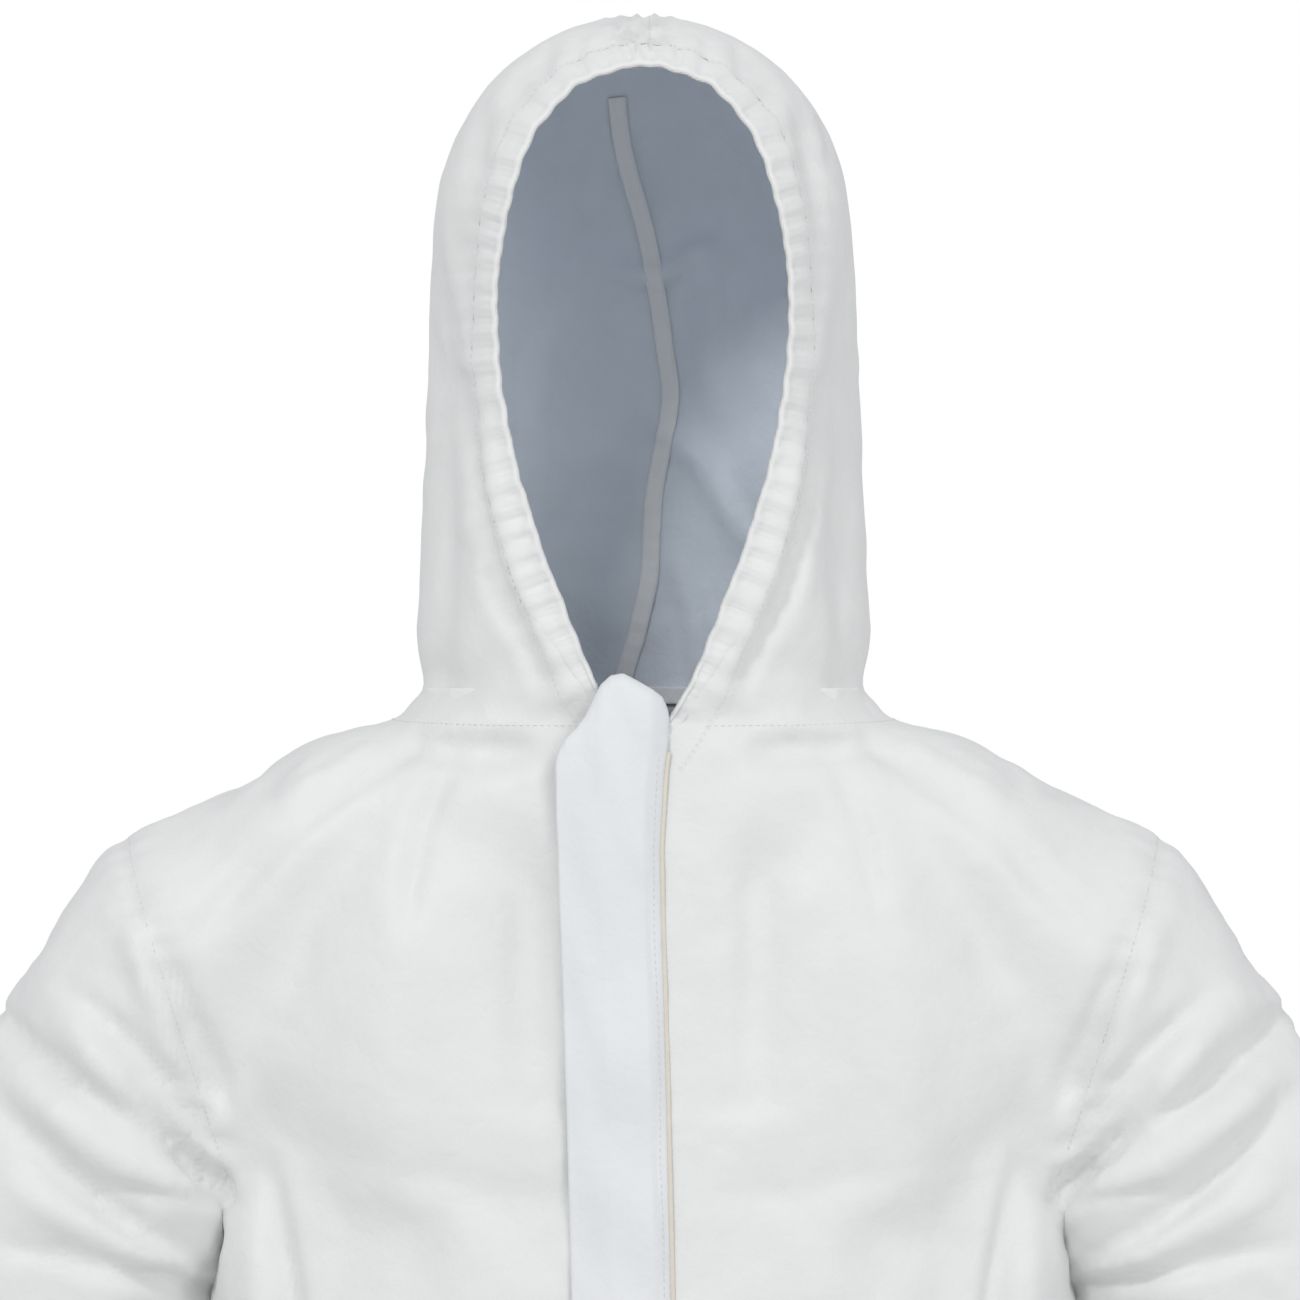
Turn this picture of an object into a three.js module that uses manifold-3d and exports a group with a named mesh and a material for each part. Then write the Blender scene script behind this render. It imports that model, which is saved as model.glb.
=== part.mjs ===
// A hooded chemical protective coverall, filled out as if worn, with its zip closed.
// Millimetres, +Z up, -Y the front, +X the wearer's left.
// The origin is the centre of the neck seam, where the suit hangs on the wearer's shoulders.
import * as THREE from "three";
import { mergeVertices } from "three/addons/utils/BufferGeometryUtils.js";
import Module from "manifold-3d";

const wasm = await Module();
wasm.setup();

// ---------------------------------------------------------------- driving sizes

const wall = 2.5; // stand-in thickness of the cloth
const gap = 0.3; // between two pieces that are sewn or lie together
const far = 3000; // reach of a cutting block

const crownHeight = 355; // neck seam to the top of the hood
const hoodWiden = 246; // height where the hood is at its roundest
const hoodHalfWidth = 105;
const hoodFrontDepth = 117;
const hoodBackDepth = 127;
const neckHalfWidth = 117;
const neckBack = 92;
const neckDip = 14; // the neck seam drops this much at the front
const neckZone = 50; // the hood creases below this height when it is pushed back

const faceTop = 328;
const faceWidest = 190;
const faceHalfWidth = 73.5;
const hemRadius = 3.4;
const hemStart = 6; // the face hem starts this far above the neck seam
const faceElasticRadius = 1.3;

const shoulderHalfWidth = 258;
const chestHalfWidth = 213;
const waistHalfWidth = 197;
const hipHalfWidth = 212;
const chestBack = 130;
const armpitDrop = 246;
const waistDrop = 430;
const ribRise = 90; // the lowest rib above the waist
const waistBack = 108;
const panelHem = waistDrop + 70; // lower edge of the chest and back panels
const hipDrop = waistDrop + 160;
const crotchDrop = waistDrop + 270;
const gussetHalfWidth = 32;
const gussetHalfDepth = 86;
const gussetAbove = 12; // the gusset's edges above and below the crotch
const gussetBelow = 30;

const armAngle = THREE.MathUtils.degToRad(30); // sleeves hang this far from upright
const shoulderX = 225;
const shoulderY = 5;
const shoulderDrop = 125;
const sleeveRadius = 72;
const sleeveDepth = 80;
const capEnd = 130; // sleeve lengths are measured down the arm from the shoulder joint
const elbowAt = 290;
const elbowReach = 75; // the elbow's soft part reaches this far each way
const cuffLength = 50;
const sleeveEnd = 580;
const cuffStart = sleeveEnd - cuffLength;
const forearmShare = 0.515; // of the way from the elbow's soft part to the cuff
const forearmAt = THREE.MathUtils.lerp(elbowAt + elbowReach, cuffStart, forearmShare);
const wristRadius = 36;

const inseam = 685;
const thighBelow = 90; // the thigh starts this far below the crotch
const kneeRise = 410; // the knee and the calf above the end of the leg
const calfRise = 175;
const kneeReach = 95;
const thighStart = crotchDrop + thighBelow;
const ankleEnd = crotchDrop + inseam;
const kneeDrop = ankleEnd - kneeRise;
const calfDrop = ankleEnd - calfRise;
const ankleCuffDrop = ankleEnd - cuffLength;
const thighHalfWidth = 103;
const kneeHalfWidth = 91;
const ankleRadius = 50;

const elasticThickness = 1.5;
const elasticWidth = 10;
const cuffWaist = 12; // a cuff is tightest this far from its open end
const cuffFlare = 22; // and the cloth gathers from this far

const zipTopDepth = 90; // the front of the suit at the top of the zip
const zipTopDrop = 16;
const zipEndRise = 44; // the zip ends this far above the crotch
const zipLength = crotchDrop - zipTopDrop - zipEndRise;
const zipForward = 36; // the zip's lower end stands this much further forward
const coilWidth = 2.6;
const coilThickness = 2.5;
const coilSplit = 3.4; // between the two rows of teeth
const tapeWidth = 14;
const tapeThickness = 1.5;
const tapeSplit = 4;
const tapeClearance = 1.7; // between the back of the cloth and the tapes
const tapeBehind = wall + tapeClearance;
const zipSlot = 13; // between the two front panels
const sliderRest = 5; // the slider's top below the top of the tapes
const sliderLength = 12;
const sliderWidth = 10;
const sliderPlate = 2.3;
const sliderBack = 1.4;
const wedgeWidth = 2.8;
const wedgeLength = 3.5;
const bailWidth = 2;
const tabLength = 20;
const tabWidth = 6.4;
const tabThickness = 1.2;

const flapRoot = 13.4; // the storm flap hinges this far to the wearer's left of the zip
const flapFree = 44; // and its free edge lies this far to the right of it
const flapThickness = 2;
const flapPuff = 11; // how far the flap stands off the zip
const flapLie = 2.2; // and how far its free edge stands off the panel
const flapBelow = 5; // the flap runs this far below the zip
const adhesiveWidth = 12;
const adhesiveThickness = 0.8;

// ---------------------------------------------------------------- tools

const cloth = { color: 0xe9ebec, roughness: 0.55, metalness: 0 };
const finishes = {
  cloth,
  binding: { color: 0xe4e2dc, roughness: 0.7, metalness: 0 },
  elastic: { color: 0xf2f1ee, roughness: 0.8, metalness: 0 },
  zip: { color: 0xf0f0ee, roughness: 0.45, metalness: 0 },
  slider: { color: 0xdadcdd, roughness: 0.35, metalness: 0 },
  adhesive: { color: 0xd9d4c4, roughness: 0.3, metalness: 0 },
  label: { color: 0xf4f4f2, roughness: 0.6, metalness: 0 },
};

const group = new THREE.Group();

function solid(geometry) {
  const bare = geometry.index ? geometry.toNonIndexed() : geometry.clone();
  bare.deleteAttribute("normal");
  bare.deleteAttribute("uv");
  const merged = mergeVertices(bare, 1e-4);
  return new wasm.Manifold(
    new wasm.Mesh({
      numProp: 3,
      vertProperties: merged.attributes.position.array,
      triVerts: new Uint32Array(merged.index.array),
    }),
  );
}

function geometryOf(made) {
  const mesh = made.getMesh();
  const geometry = new THREE.BufferGeometry();
  geometry.setAttribute("position", new THREE.BufferAttribute(mesh.vertProperties, 3));
  geometry.setIndex(new THREE.BufferAttribute(mesh.triVerts, 1));
  return geometry;
}

function addNode(name, made, finish, parent = group) {
  const geometry = made.isBufferGeometry ? made : geometryOf(made);
  const mesh = new THREE.Mesh(geometry, new THREE.MeshStandardMaterial(finishes[finish]));
  mesh.name = name;
  parent.add(mesh);
  return mesh;
}

const unionOf = (solids) => solids.reduce((whole, next) => whole.add(next));

// A block between two corners.
function block(low, high) {
  const size = new THREE.Vector3().subVectors(high, low);
  const middle = new THREE.Vector3().addVectors(low, high).multiplyScalar(0.5);
  return new THREE.BoxGeometry(size.x, size.y, size.z).translate(middle.x, middle.y, middle.z);
}

const slab = (x0, x1, y0, y1, z0, z1) =>
  solid(block(new THREE.Vector3(x0, y0, z0), new THREE.Vector3(x1, y1, z1)));

// Everything between two heights.
const between = (low, high) => slab(-far, far, -far, far, low, high);

// Everything on the wearer's left (+1) or right (-1) of the middle seam.
function halfOf(side) {
  const edges = [(side * gap) / 2, side * far].sort((one, other) => one - other);
  return slab(edges[0], edges[1], -far, far, -far, far);
}

// A closed body through oval rings, front first. A ring has a centre x and y, a height z, half-width a,
// front and back depths f and b, a squareness n (2 is an ellipse), and a dip at the middle of its front.
function loft(rows, segments) {
  const geometry = new THREE.CylinderGeometry(1, 1, 1, segments, rows.length - 1);
  const position = geometry.attributes.position;
  for (let i = 0; i < position.count; i += 1) {
    const row = rows[Math.round((0.5 - position.getY(i)) * (rows.length - 1))];
    const across = position.getX(i);
    const ahead = position.getZ(i);
    const power = 2 / (row.n ?? 2);
    const depth = ahead > 0 ? row.f : row.b;
    position.setXYZ(
      i,
      (row.x ?? 0) + row.a * Math.sign(across) * Math.abs(across) ** power,
      (row.y ?? 0) - depth * Math.sign(ahead) * Math.abs(ahead) ** power,
      row.z - (row.dip ?? 0) * Math.max(ahead, 0) ** 2,
    );
  }
  return geometry;
}

// The same rings, a wall further in.
function inset(rows, by) {
  return rows.map((row) => ({ ...row, a: row.a - by, f: row.f - by, b: row.b - by }));
}

// The rings again, with the first or the last moved along to open that end.
function openTop(rows, by) {
  return rows.map((row, i) => (i === 0 ? { ...row, z: row.z + by, dip: 0 } : row));
}
function openBottom(rows, by) {
  const last = rows.length - 1;
  return rows.map((row, i) => (i === last ? { ...row, z: row.z - by } : row));
}

// ---------------------------------------------------------------- the suit's outline

const zipLean = Math.atan2(zipForward, zipLength);
const frontAt = (z) => zipTopDepth + (-zipTopDrop - z) * (zipForward / zipLength);

const torsoRing = (z, a, b, n, dip = 0) => ({ z, a, b, n, dip, f: frontAt(z - dip) });
const torsoRings = [
  torsoRing(0, neckHalfWidth, neckBack, 2, neckDip),
  torsoRing(-16, 146, 98, 2.1, 22),
  torsoRing(-34, 188, 104, 2.2, 30),
  torsoRing(-54, 236, 110, 2.2, 36),
  torsoRing(-80, shoulderHalfWidth, 117, 2.3, 38),
  torsoRing(-125, 254, 124, 2.4, 28),
  torsoRing(-185, 234, chestBack - 1, 2.5, 10),
  torsoRing(-armpitDrop, chestHalfWidth, chestBack, 2.5),
  torsoRing(-waistDrop + ribRise, 208, 124, 2.5),
  torsoRing(-waistDrop, waistHalfWidth, waistBack, 2.5),
  torsoRing(-panelHem, 205, 118, 2.5),
  torsoRing(-hipDrop, hipHalfWidth, 130, 2.5),
  torsoRing(-crotchDrop, 208, 124, 2.6),
];

// Rings down one leg; side is +1 for the wearer's left.
const legRings = (side) => [
  { x: side * 106, z: -hipDrop - 30, a: 98, f: 118, b: 120, n: 2.3 },
  { x: side * 108, z: -crotchDrop, a: 104, f: 119, b: 120, n: 2.3 },
  { x: side * 112, z: -thighStart, a: thighHalfWidth, f: 112, b: 113, n: 2.2 },
  { x: side * 117, z: -kneeDrop + kneeReach, a: 97, f: 103, b: 103, n: 2.1 },
  { x: side * 123, z: -kneeDrop, a: kneeHalfWidth, f: 96, b: 96, n: 2.1 },
  { x: side * 128, z: -kneeDrop - kneeReach, a: 85, f: 89, b: 90, n: 2.1 },
  { x: side * 135, z: -calfDrop, a: 76, f: 79, b: 82, n: 2 },
  { x: side * 141, z: -ankleCuffDrop, a: 65, f: 67, b: 70, n: 2 },
  {
    x: side * 142, z: -ankleEnd + cuffFlare,
    a: ankleRadius + 4, f: ankleRadius + 4, b: ankleRadius + 6, n: 2,
  },
  { x: side * 142, z: -ankleEnd + cuffWaist, a: ankleRadius, f: ankleRadius, b: ankleRadius + 2, n: 2 },
  { x: side * 142, z: -ankleEnd, a: ankleRadius + 4, f: ankleRadius + 4, b: ankleRadius + 6, n: 2 },
];

// Rings down one sleeve, in its own upright frame with the shoulder joint at its origin.
const ballStep = Math.PI / 8;
const ballRings = [3, 2, 1].map((k) => ({
  z: sleeveRadius * Math.sin(k * ballStep),
  a: sleeveRadius * Math.cos(k * ballStep),
  f: sleeveDepth * Math.cos(k * ballStep),
  b: sleeveDepth * Math.cos(k * ballStep),
}));
const sleeveRing = (z, a, depth) => ({ z: -z, a, f: depth, b: depth });
const sleeveRings = [
  ...ballRings,
  sleeveRing(0, sleeveRadius, sleeveDepth),
  sleeveRing(capEnd, sleeveRadius + 2, sleeveDepth),
  sleeveRing(elbowAt - elbowReach, 70, 75),
  sleeveRing(elbowAt, 66, 70),
  sleeveRing(elbowAt + elbowReach, 62, 65),
  sleeveRing(forearmAt, 57, 59),
  sleeveRing(cuffStart, 50, 52),
  sleeveRing(sleeveEnd - cuffFlare, wristRadius + 3, wristRadius + 4),
  sleeveRing(sleeveEnd - cuffWaist, wristRadius, wristRadius + 1),
  sleeveRing(sleeveEnd, wristRadius + 3, wristRadius + 4),
];

// The place and tilt of a sleeve's own frame.
function sleeveFrame(side) {
  const turn = new THREE.Matrix4().makeRotationY(-side * armAngle);
  return turn.setPosition(side * shoulderX, shoulderY, -shoulderDrop);
}

// Sleeve rings are written upright, so the body is lofted there and then turned out.
const sleeveBody = (side, rings, segments) => loft(rings, segments).applyMatrix4(sleeveFrame(side));

const torsoSegments = 24;
const limbSegments = 14;
const ends = 20; // how far the inside runs out past an open end

const outerBody = unionOf([
  solid(loft(torsoRings, torsoSegments)),
  ...[1, -1].flatMap((side) => [
    solid(sleeveBody(side, sleeveRings, limbSegments)),
    solid(loft(legRings(side), limbSegments)),
  ]),
]);
// The inside runs out past every open end, and stops a wall above the crotch.
const torsoInside = openBottom(openTop(inset(torsoRings, wall), ends), -wall);
const innerBody = unionOf([
  solid(loft(torsoInside, torsoSegments)),
  ...[1, -1].flatMap((side) => [
    solid(sleeveBody(side, openBottom(inset(sleeveRings, wall), ends), limbSegments)),
    solid(loft(openBottom(inset(legRings(side), wall), ends), limbSegments)),
  ]),
]);
const shell = outerBody.subtract(innerBody);

// ---------------------------------------------------------------- cutting the cloth into its panels

// A half-space beyond a point, on the side that the normal points to. The normal lies in the XZ plane.
function beyond(x, z, normalX, normalZ) {
  const lean = Math.atan2(normalX, normalZ);
  const box = new THREE.BoxGeometry(2 * far, 2 * far, far).translate(0, 0, far / 2);
  return solid(box.rotateY(lean).translate(x, 0, z));
}

// The armhole seam runs straight from the tip of the shoulder to the armpit.
const armholeTop = new THREE.Vector2(shoulderHalfWidth + 8, -65);
const armpit = new THREE.Vector2(chestHalfWidth - 2, -armpitDrop);
const armholeRun = new THREE.Vector2().subVectors(armpit, armholeTop).normalize();

// The block under the armpits that belongs to the trunk, grown by a distance.
function underArm(grow) {
  const reach = chestHalfWidth + 1.5 + grow;
  return slab(-reach, reach, -far, far, -far, -armpitDrop + grow);
}

// Everything on the sleeve's side of the armhole, shrunk by a distance.
function armRegion(side, shrink) {
  return beyond(side * (armpit.x + shrink), armpit.y, side * -armholeRun.y, armholeRun.x)
    .subtract(underArm(shrink))
    .intersect(between(-crotchDrop, far));
}

// Everything further down the arm than a distance.
function downArm(side, distance) {
  const x = shoulderX + distance * Math.sin(armAngle);
  const z = -shoulderDrop - distance * Math.cos(armAngle);
  return beyond(side * x, z, side * Math.sin(armAngle), -Math.cos(armAngle));
}

const slotBelow = 3; // the slot runs this far below the zip
const zipClearance = slab(-zipSlot / 2, zipSlot / 2, -far, 0, -zipTopDrop - zipLength - slotBelow, far);
const frontHalf = slab(-far, far, -far, shoulderY - gap / 2, -far, far);
const backHalf = slab(-far, far, shoulderY + gap / 2, far, -far, far);

// The block that holds the crotch gusset, grown by a distance.
function gussetBlock(grow) {
  const x = gussetHalfWidth + grow;
  const y = gussetHalfDepth + grow;
  return slab(-x, x, -y, y, -crotchDrop - gussetBelow - grow, -crotchDrop + gussetAbove + grow);
}

for (const [side, name] of [[1, "left"], [-1, "right"]]) {
  const half = shell.intersect(halfOf(side));
  const arms = half.intersect(armRegion(side, gap / 2));
  const trunk = half.subtract(armRegion(side, -gap / 2));

  const chest = trunk.intersect(between(-panelHem + gap / 2, far)).subtract(zipClearance);
  addNode(`${name}_front_panel`, chest.intersect(frontHalf), "cloth");
  addNode(`${name}_back_panel`, chest.intersect(backHalf), "cloth");

  const seat = trunk.intersect(between(-thighStart + gap / 2, -panelHem - gap / 2));
  addNode(`${name}_seat_panel`, seat.subtract(zipClearance).subtract(gussetBlock(gap)), "cloth");

  const legStops = [thighStart, kneeDrop - kneeReach, kneeDrop + kneeReach, ankleCuffDrop, ankleEnd + ends];
  ["thigh", "knee", "lower_leg", "ankle_cuff"].forEach((part, i) => {
    const region = between(-legStops[i + 1] + gap / 2, -legStops[i] - gap / 2);
    addNode(`${name}_${part}`, half.intersect(region), "cloth");
  });

  const armStops = [capEnd, elbowAt - elbowReach, elbowAt + elbowReach, cuffStart];
  addNode(`${name}_sleeve_cap`, arms.subtract(downArm(side, capEnd - gap / 2)), "cloth");
  ["upper_sleeve", "elbow", "lower_sleeve", "wrist_cuff"].forEach((part, i) => {
    const start = arms.intersect(downArm(side, armStops[i] + gap / 2));
    const stop = armStops[i + 1];
    const region = stop ? start.subtract(downArm(side, stop - gap / 2)) : start;
    addNode(`${name}_${part}`, region, "cloth");
  });
}
addNode("crotch_gusset", shell.intersect(gussetBlock(0)), "cloth");

// ---------------------------------------------------------------- hood

// The hood's ring at a height: straight sides up to its roundest height, then a dome.
function hoodRing(z) {
  const up = Math.min(z / hoodWiden, 1);
  const rise = Math.min(Math.max(z - hoodWiden, 0) / (crownHeight - hoodWiden), 0.998);
  const close = Math.sqrt(1 - rise * rise);
  const mix = THREE.MathUtils.lerp;
  return {
    z,
    a: mix(neckHalfWidth, hoodHalfWidth, up) * close,
    f: mix(zipTopDepth - 1, hoodFrontDepth, up ** 0.8) * close,
    b: mix(neckBack, hoodBackDepth, up ** 0.8) * close,
    n: mix(2, 2.15, up),
    dip: neckDip * (1 - up) ** 3,
  };
}

const domeSteps = 6;
const domeHeights = Array.from(
  { length: domeSteps },
  (_, k) => hoodWiden + (crownHeight - hoodWiden) * Math.sin((Math.PI / 2) * (1 - k / domeSteps)),
);
const sideHeights = [hoodWiden, 185, 120, 60, 24, gap];
const hoodRings = [...domeHeights, ...sideHeights].map(hoodRing);

// The hood's rings a distance further in, with the crown that much lower.
function hoodInset(by) {
  const dome = crownHeight - hoodWiden;
  return inset(hoodRings, by).map((row) => ({
    ...row,
    a: Math.max(row.a, 1),
    f: Math.max(row.f, 1),
    b: Math.max(row.b, 1),
    z: row.z - (by * Math.max(row.z - hoodWiden, 0)) / dome,
  }));
}

const hoodInside = (by) => solid(loft(openBottom(hoodInset(by), ends), torsoSegments));
const hoodShell = solid(loft(hoodRings, torsoSegments)).subtract(hoodInside(wall));

// A smooth line moved sideways by a distance, to the left of its direction.
function offsetLine(points, by) {
  return points.map((point, i) => {
    const before = points[Math.max(i - 1, 0)];
    const after = points[Math.min(i + 1, points.length - 1)];
    const along = new THREE.Vector2().subVectors(after, before).normalize();
    return new THREE.Vector2(point.x - along.y * by, point.y + along.x * by);
  });
}

// A prism along Y, from the front of everything back to a depth, with an outline in the front view.
function frontPrism(outline, low, high) {
  const options = { depth: high - low, bevelEnabled: false };
  const cut = new THREE.ExtrudeGeometry(new THREE.Shape(outline), options);
  return cut.rotateX(Math.PI / 2).translate(0, high, 0);
}

// The face opening is a teardrop that stands on its point at the top of the zip.
const faceSide = [
  new THREE.Vector2(0, faceTop),
  new THREE.Vector2(34, faceTop - 13),
  new THREE.Vector2(58, faceTop - 44),
  new THREE.Vector2(faceHalfWidth - 3.5, faceTop - 88),
  new THREE.Vector2(faceHalfWidth, faceWidest),
  new THREE.Vector2(faceHalfWidth - 7, 136),
  new THREE.Vector2(49, 76),
  new THREE.Vector2(25, 16),
  new THREE.Vector2(3, -zipTopDrop - 2),
];
const faceSteps = 17;
const faceCurve = new THREE.SplineCurve(faceSide).getPoints(faceSteps);

const faceCutDepth = 200; // the face is cut from this far ahead of the neck
const faceCutStop = 20;

function faceCutter(grow) {
  const right = offsetLine(faceCurve, grow);
  right[0].x = 0;
  const left = right.slice(1).reverse().map((point) => new THREE.Vector2(-point.x, point.y));
  return solid(frontPrism([...right, ...left], -faceCutDepth, -faceCutStop));
}

// How far forward the hood's cloth is at a place in its front view.
function hoodFront(x, z) {
  const ring = hoodRing(Math.max(z, 0));
  const share = Math.min(Math.abs(x) / ring.a, 0.98);
  return -ring.f * (1 - share ** ring.n) ** (1 / ring.n);
}

const hoodCloth = hoodShell.subtract(faceCutter(hemRadius + gap));
for (const [side, name] of [[1, "left"], [-1, "right"]]) {
  const half = hoodCloth.intersect(halfOf(side));
  addNode(`${name}_hood_panel`, half.intersect(between(neckZone + gap / 2, far)), "cloth");
  addNode(`${name}_hood_neck`, half.intersect(between(-far, neckZone - gap / 2)), "cloth");
}

// The rolled hem round the face opening, open at the chin, with an elastic through it.
function hemPath(start) {
  const side = faceCurve
    .filter((point) => point.y > start)
    .map((point) => new THREE.Vector3(point.x, hoodFront(point.x, point.y) + wall / 2, point.y));
  const mirrored = (point) => new THREE.Vector3(-point.x, point.y, point.z);
  return new THREE.CatmullRomCurve3([...side.slice(1).reverse().map(mirrored), ...side]);
}
const hemSteps = 34;

function disc(radius, sides) {
  const points = [];
  for (let k = 0; k < sides; k += 1) {
    const angle = (2 * Math.PI * (k + 0.5)) / sides;
    points.push(new THREE.Vector2(radius * Math.cos(angle), radius * Math.sin(angle)));
  }
  return new THREE.Shape(points);
}

function hemTube(radius, sides, start) {
  const options = { steps: hemSteps, bevelEnabled: false, extrudePath: hemPath(start) };
  return solid(new THREE.ExtrudeGeometry(disc(radius, sides), options));
}

const elasticStart = -2; // the elastic's ends stand out of the hem, to be caught in the chin seam
const hemBore = hemTube(faceElasticRadius + gap, 6, elasticStart);
addNode("face_hem", hemTube(hemRadius, 8, hemStart).subtract(hemBore), "cloth");
addNode("face_elastic", hemTube(faceElasticRadius, 6, elasticStart), "elastic");

// ---------------------------------------------------------------- strips inside the cloth

const bindingWidth = 9;
const bindingThickness = 1.2;
const bindingStart = 16; // above the neck seam
const neckTapeLow = 2;
const neckTapeHigh = 12;
const faceClearance = 32; // the neck tape stops this far short of the middle front
const labelWidth = 44;
const labelHigh = -26;
const labelLow = -66;
const labelThickness = 0.8;

// The middle seam's bound allowance, inside the hood from the brow to the nape.
const bindingBrow = 60; // it starts this far ahead of the neck
const bindingRegion = slab(-bindingWidth / 2, bindingWidth / 2, -bindingBrow, far, bindingStart, far);
const binding = hoodInside(wall + gap).subtract(hoodInside(wall + gap + bindingThickness));
addNode("hood_seam_binding", binding.intersect(bindingRegion), "binding");

// A strip that lies against the inside of the cloth, following its rings.
function lining(rings, thickness, segments, place) {
  const last = rings.length - 1;
  const outer = inset(rings, wall + gap);
  const inner = inset(rings, wall + gap + thickness).map((row, i) => ({
    ...row,
    z: row.z + (i === 0 ? ends : 0) - (i === last ? ends : 0),
  }));
  return solid(place(loft(outer, segments))).subtract(solid(place(loft(inner, segments))));
}

const upright = (geometry) => geometry;
const neckTape = binding.intersect(between(neckTapeLow, neckTapeHigh));
const chinBlock = slab(-faceClearance, faceClearance, -far, 0, -far, far);
addNode("neck_seam_tape", neckTape.subtract(chinBlock), "binding");

const torsoLining = (thickness) => lining(openTop(torsoRings, ends), thickness, torsoSegments, upright);
const backStart = shoulderY + 10;
const backOnly = (halfWidth, low, high) => slab(-halfWidth, halfWidth, backStart, far, low, high);
const labelPlace = backOnly(labelWidth / 2, labelLow, labelHigh);
addNode("size_label", torsoLining(labelThickness).intersect(labelPlace), "label");
const waistBand = backOnly(far, -waistDrop - elasticWidth / 2, -waistDrop + elasticWidth / 2);
addNode("waist_elastic", torsoLining(elasticThickness).intersect(waistBand), "elastic");

// Elastics in the wrist and ankle cuffs lie at their tightest place.
const cuffLining = (rings, place) =>
  lining(openBottom(rings.slice(-4), ends), elasticThickness, limbSegments, place);
for (const [side, name] of [[1, "left"], [-1, "right"]]) {
  const turnOut = (geometry) => geometry.applyMatrix4(sleeveFrame(side));
  const start = sleeveEnd - cuffWaist - elasticWidth / 2;
  const wristBand = downArm(side, start).subtract(downArm(side, start + elasticWidth));
  addNode(`${name}_wrist_elastic`, cuffLining(sleeveRings, turnOut).intersect(wristBand), "elastic");

  const middle = -ankleEnd + cuffWaist;
  const ankleBand = between(middle - elasticWidth / 2, middle + elasticWidth / 2);
  const ankleLining = cuffLining(legRings(side), upright);
  addNode(`${name}_ankle_elastic`, ankleLining.intersect(ankleBand), "elastic");
}

// ---------------------------------------------------------------- zip

// Zip pieces are written upright, with z from 0 at the top and y 0 at the face of the cloth.
const onZip = (geometry) => geometry.rotateX(-zipLean).translate(0, -zipTopDepth, -zipTopDrop);

function zipBlock(x0, x1, y0, y1, z0, z1) {
  return solid(onZip(block(new THREE.Vector3(x0, y0, z0), new THREE.Vector3(x1, y1, z1))));
}

// The same block on the wearer's left (+1) or right (-1) of the zip.
const sideBlock = (side, near, away, ...rest) =>
  zipBlock(Math.min(side * near, side * away), Math.max(side * near, side * away), ...rest);

const coilFront = tapeBehind - gap - coilThickness;
const tapeBack = tapeBehind + tapeThickness;
const coilTop = -sliderRest - wedgeLength - gap;
const stopHeight = 5;
const stopHalfWidth = 5;
const stopBottom = -zipLength + 4;
const coilBottom = stopBottom + stopHeight + gap;
const stopReach = 3;
const topStopInset = 0.4; // the top stops stand this far back from the tapes' edges

for (const [side, name] of [[1, "left"], [-1, "right"]]) {
  const tapeEdge = tapeSplit / 2;
  const coilEdge = coilSplit / 2;
  const tape = sideBlock(side, tapeEdge, tapeEdge + tapeWidth, tapeBehind, tapeBack, -zipLength, 0);
  addNode(`${name}_zip_tape`, tape, "zip");
  const coilSpan = [coilFront, tapeBehind - gap, coilBottom, coilTop];
  addNode(`${name}_zip_teeth`, sideBlock(side, coilEdge, coilEdge + coilWidth, ...coilSpan), "zip");
  const topStop = [coilFront, tapeBehind - gap, -sliderRest + gap, -1];
  const stop = sideBlock(side, tapeEdge + topStopInset, tapeEdge + stopReach, ...topStop);
  addNode(`${name}_top_stop`, stop, "zip");
}
const stopDepths = [coilFront, tapeBehind - gap];
const bottomStop = [-stopHalfWidth, stopHalfWidth, ...stopDepths, stopBottom, stopBottom + stopHeight];
addNode("zip_bottom_stop", zipBlock(...bottomStop), "zip");

// The slider runs over the teeth, with its wedge between them and its back plate behind the tapes.
const halfSlider = sliderWidth / 2;
const plateBack = coilFront - gap;
const plateFront = plateBack - sliderPlate;
const sliderTop = -sliderRest;
const sliderEnd = sliderTop - sliderLength;
const rearFront = tapeBack + gap;
const rearBack = rearFront + sliderBack;
const sliderWall = 0.4;
const bailReach = 4.2;
const bailTop = sliderTop - 1.5;
const bailEnd = sliderEnd + 6;
const bailBar = 1.2;
const bailPost = 1.4;
const bailSides = [-bailWidth / 2, bailWidth / 2];
const bailFront = plateFront - bailReach;
const slider = unionOf([
  zipBlock(-halfSlider, halfSlider, plateFront, plateBack, sliderEnd, sliderTop),
  zipBlock(-halfSlider, halfSlider, rearFront, rearBack, sliderEnd, sliderTop),
  zipBlock(-wedgeWidth / 2, wedgeWidth / 2, plateFront, rearBack, sliderTop - wedgeLength, sliderTop),
  ...[1, -1].map((side) => sideBlock(
    side, halfSlider - sliderWall, halfSlider, plateFront, tapeBehind - gap, sliderEnd, sliderTop,
  )),
  zipBlock(...bailSides, bailFront, bailFront + bailBar, bailEnd, bailTop),
  ...[bailTop - bailPost, bailEnd].map((z) => zipBlock(...bailSides, bailFront, plateBack, z, z + bailPost)),
]);
addNode("zip_slider", slider, "slider");

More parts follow.
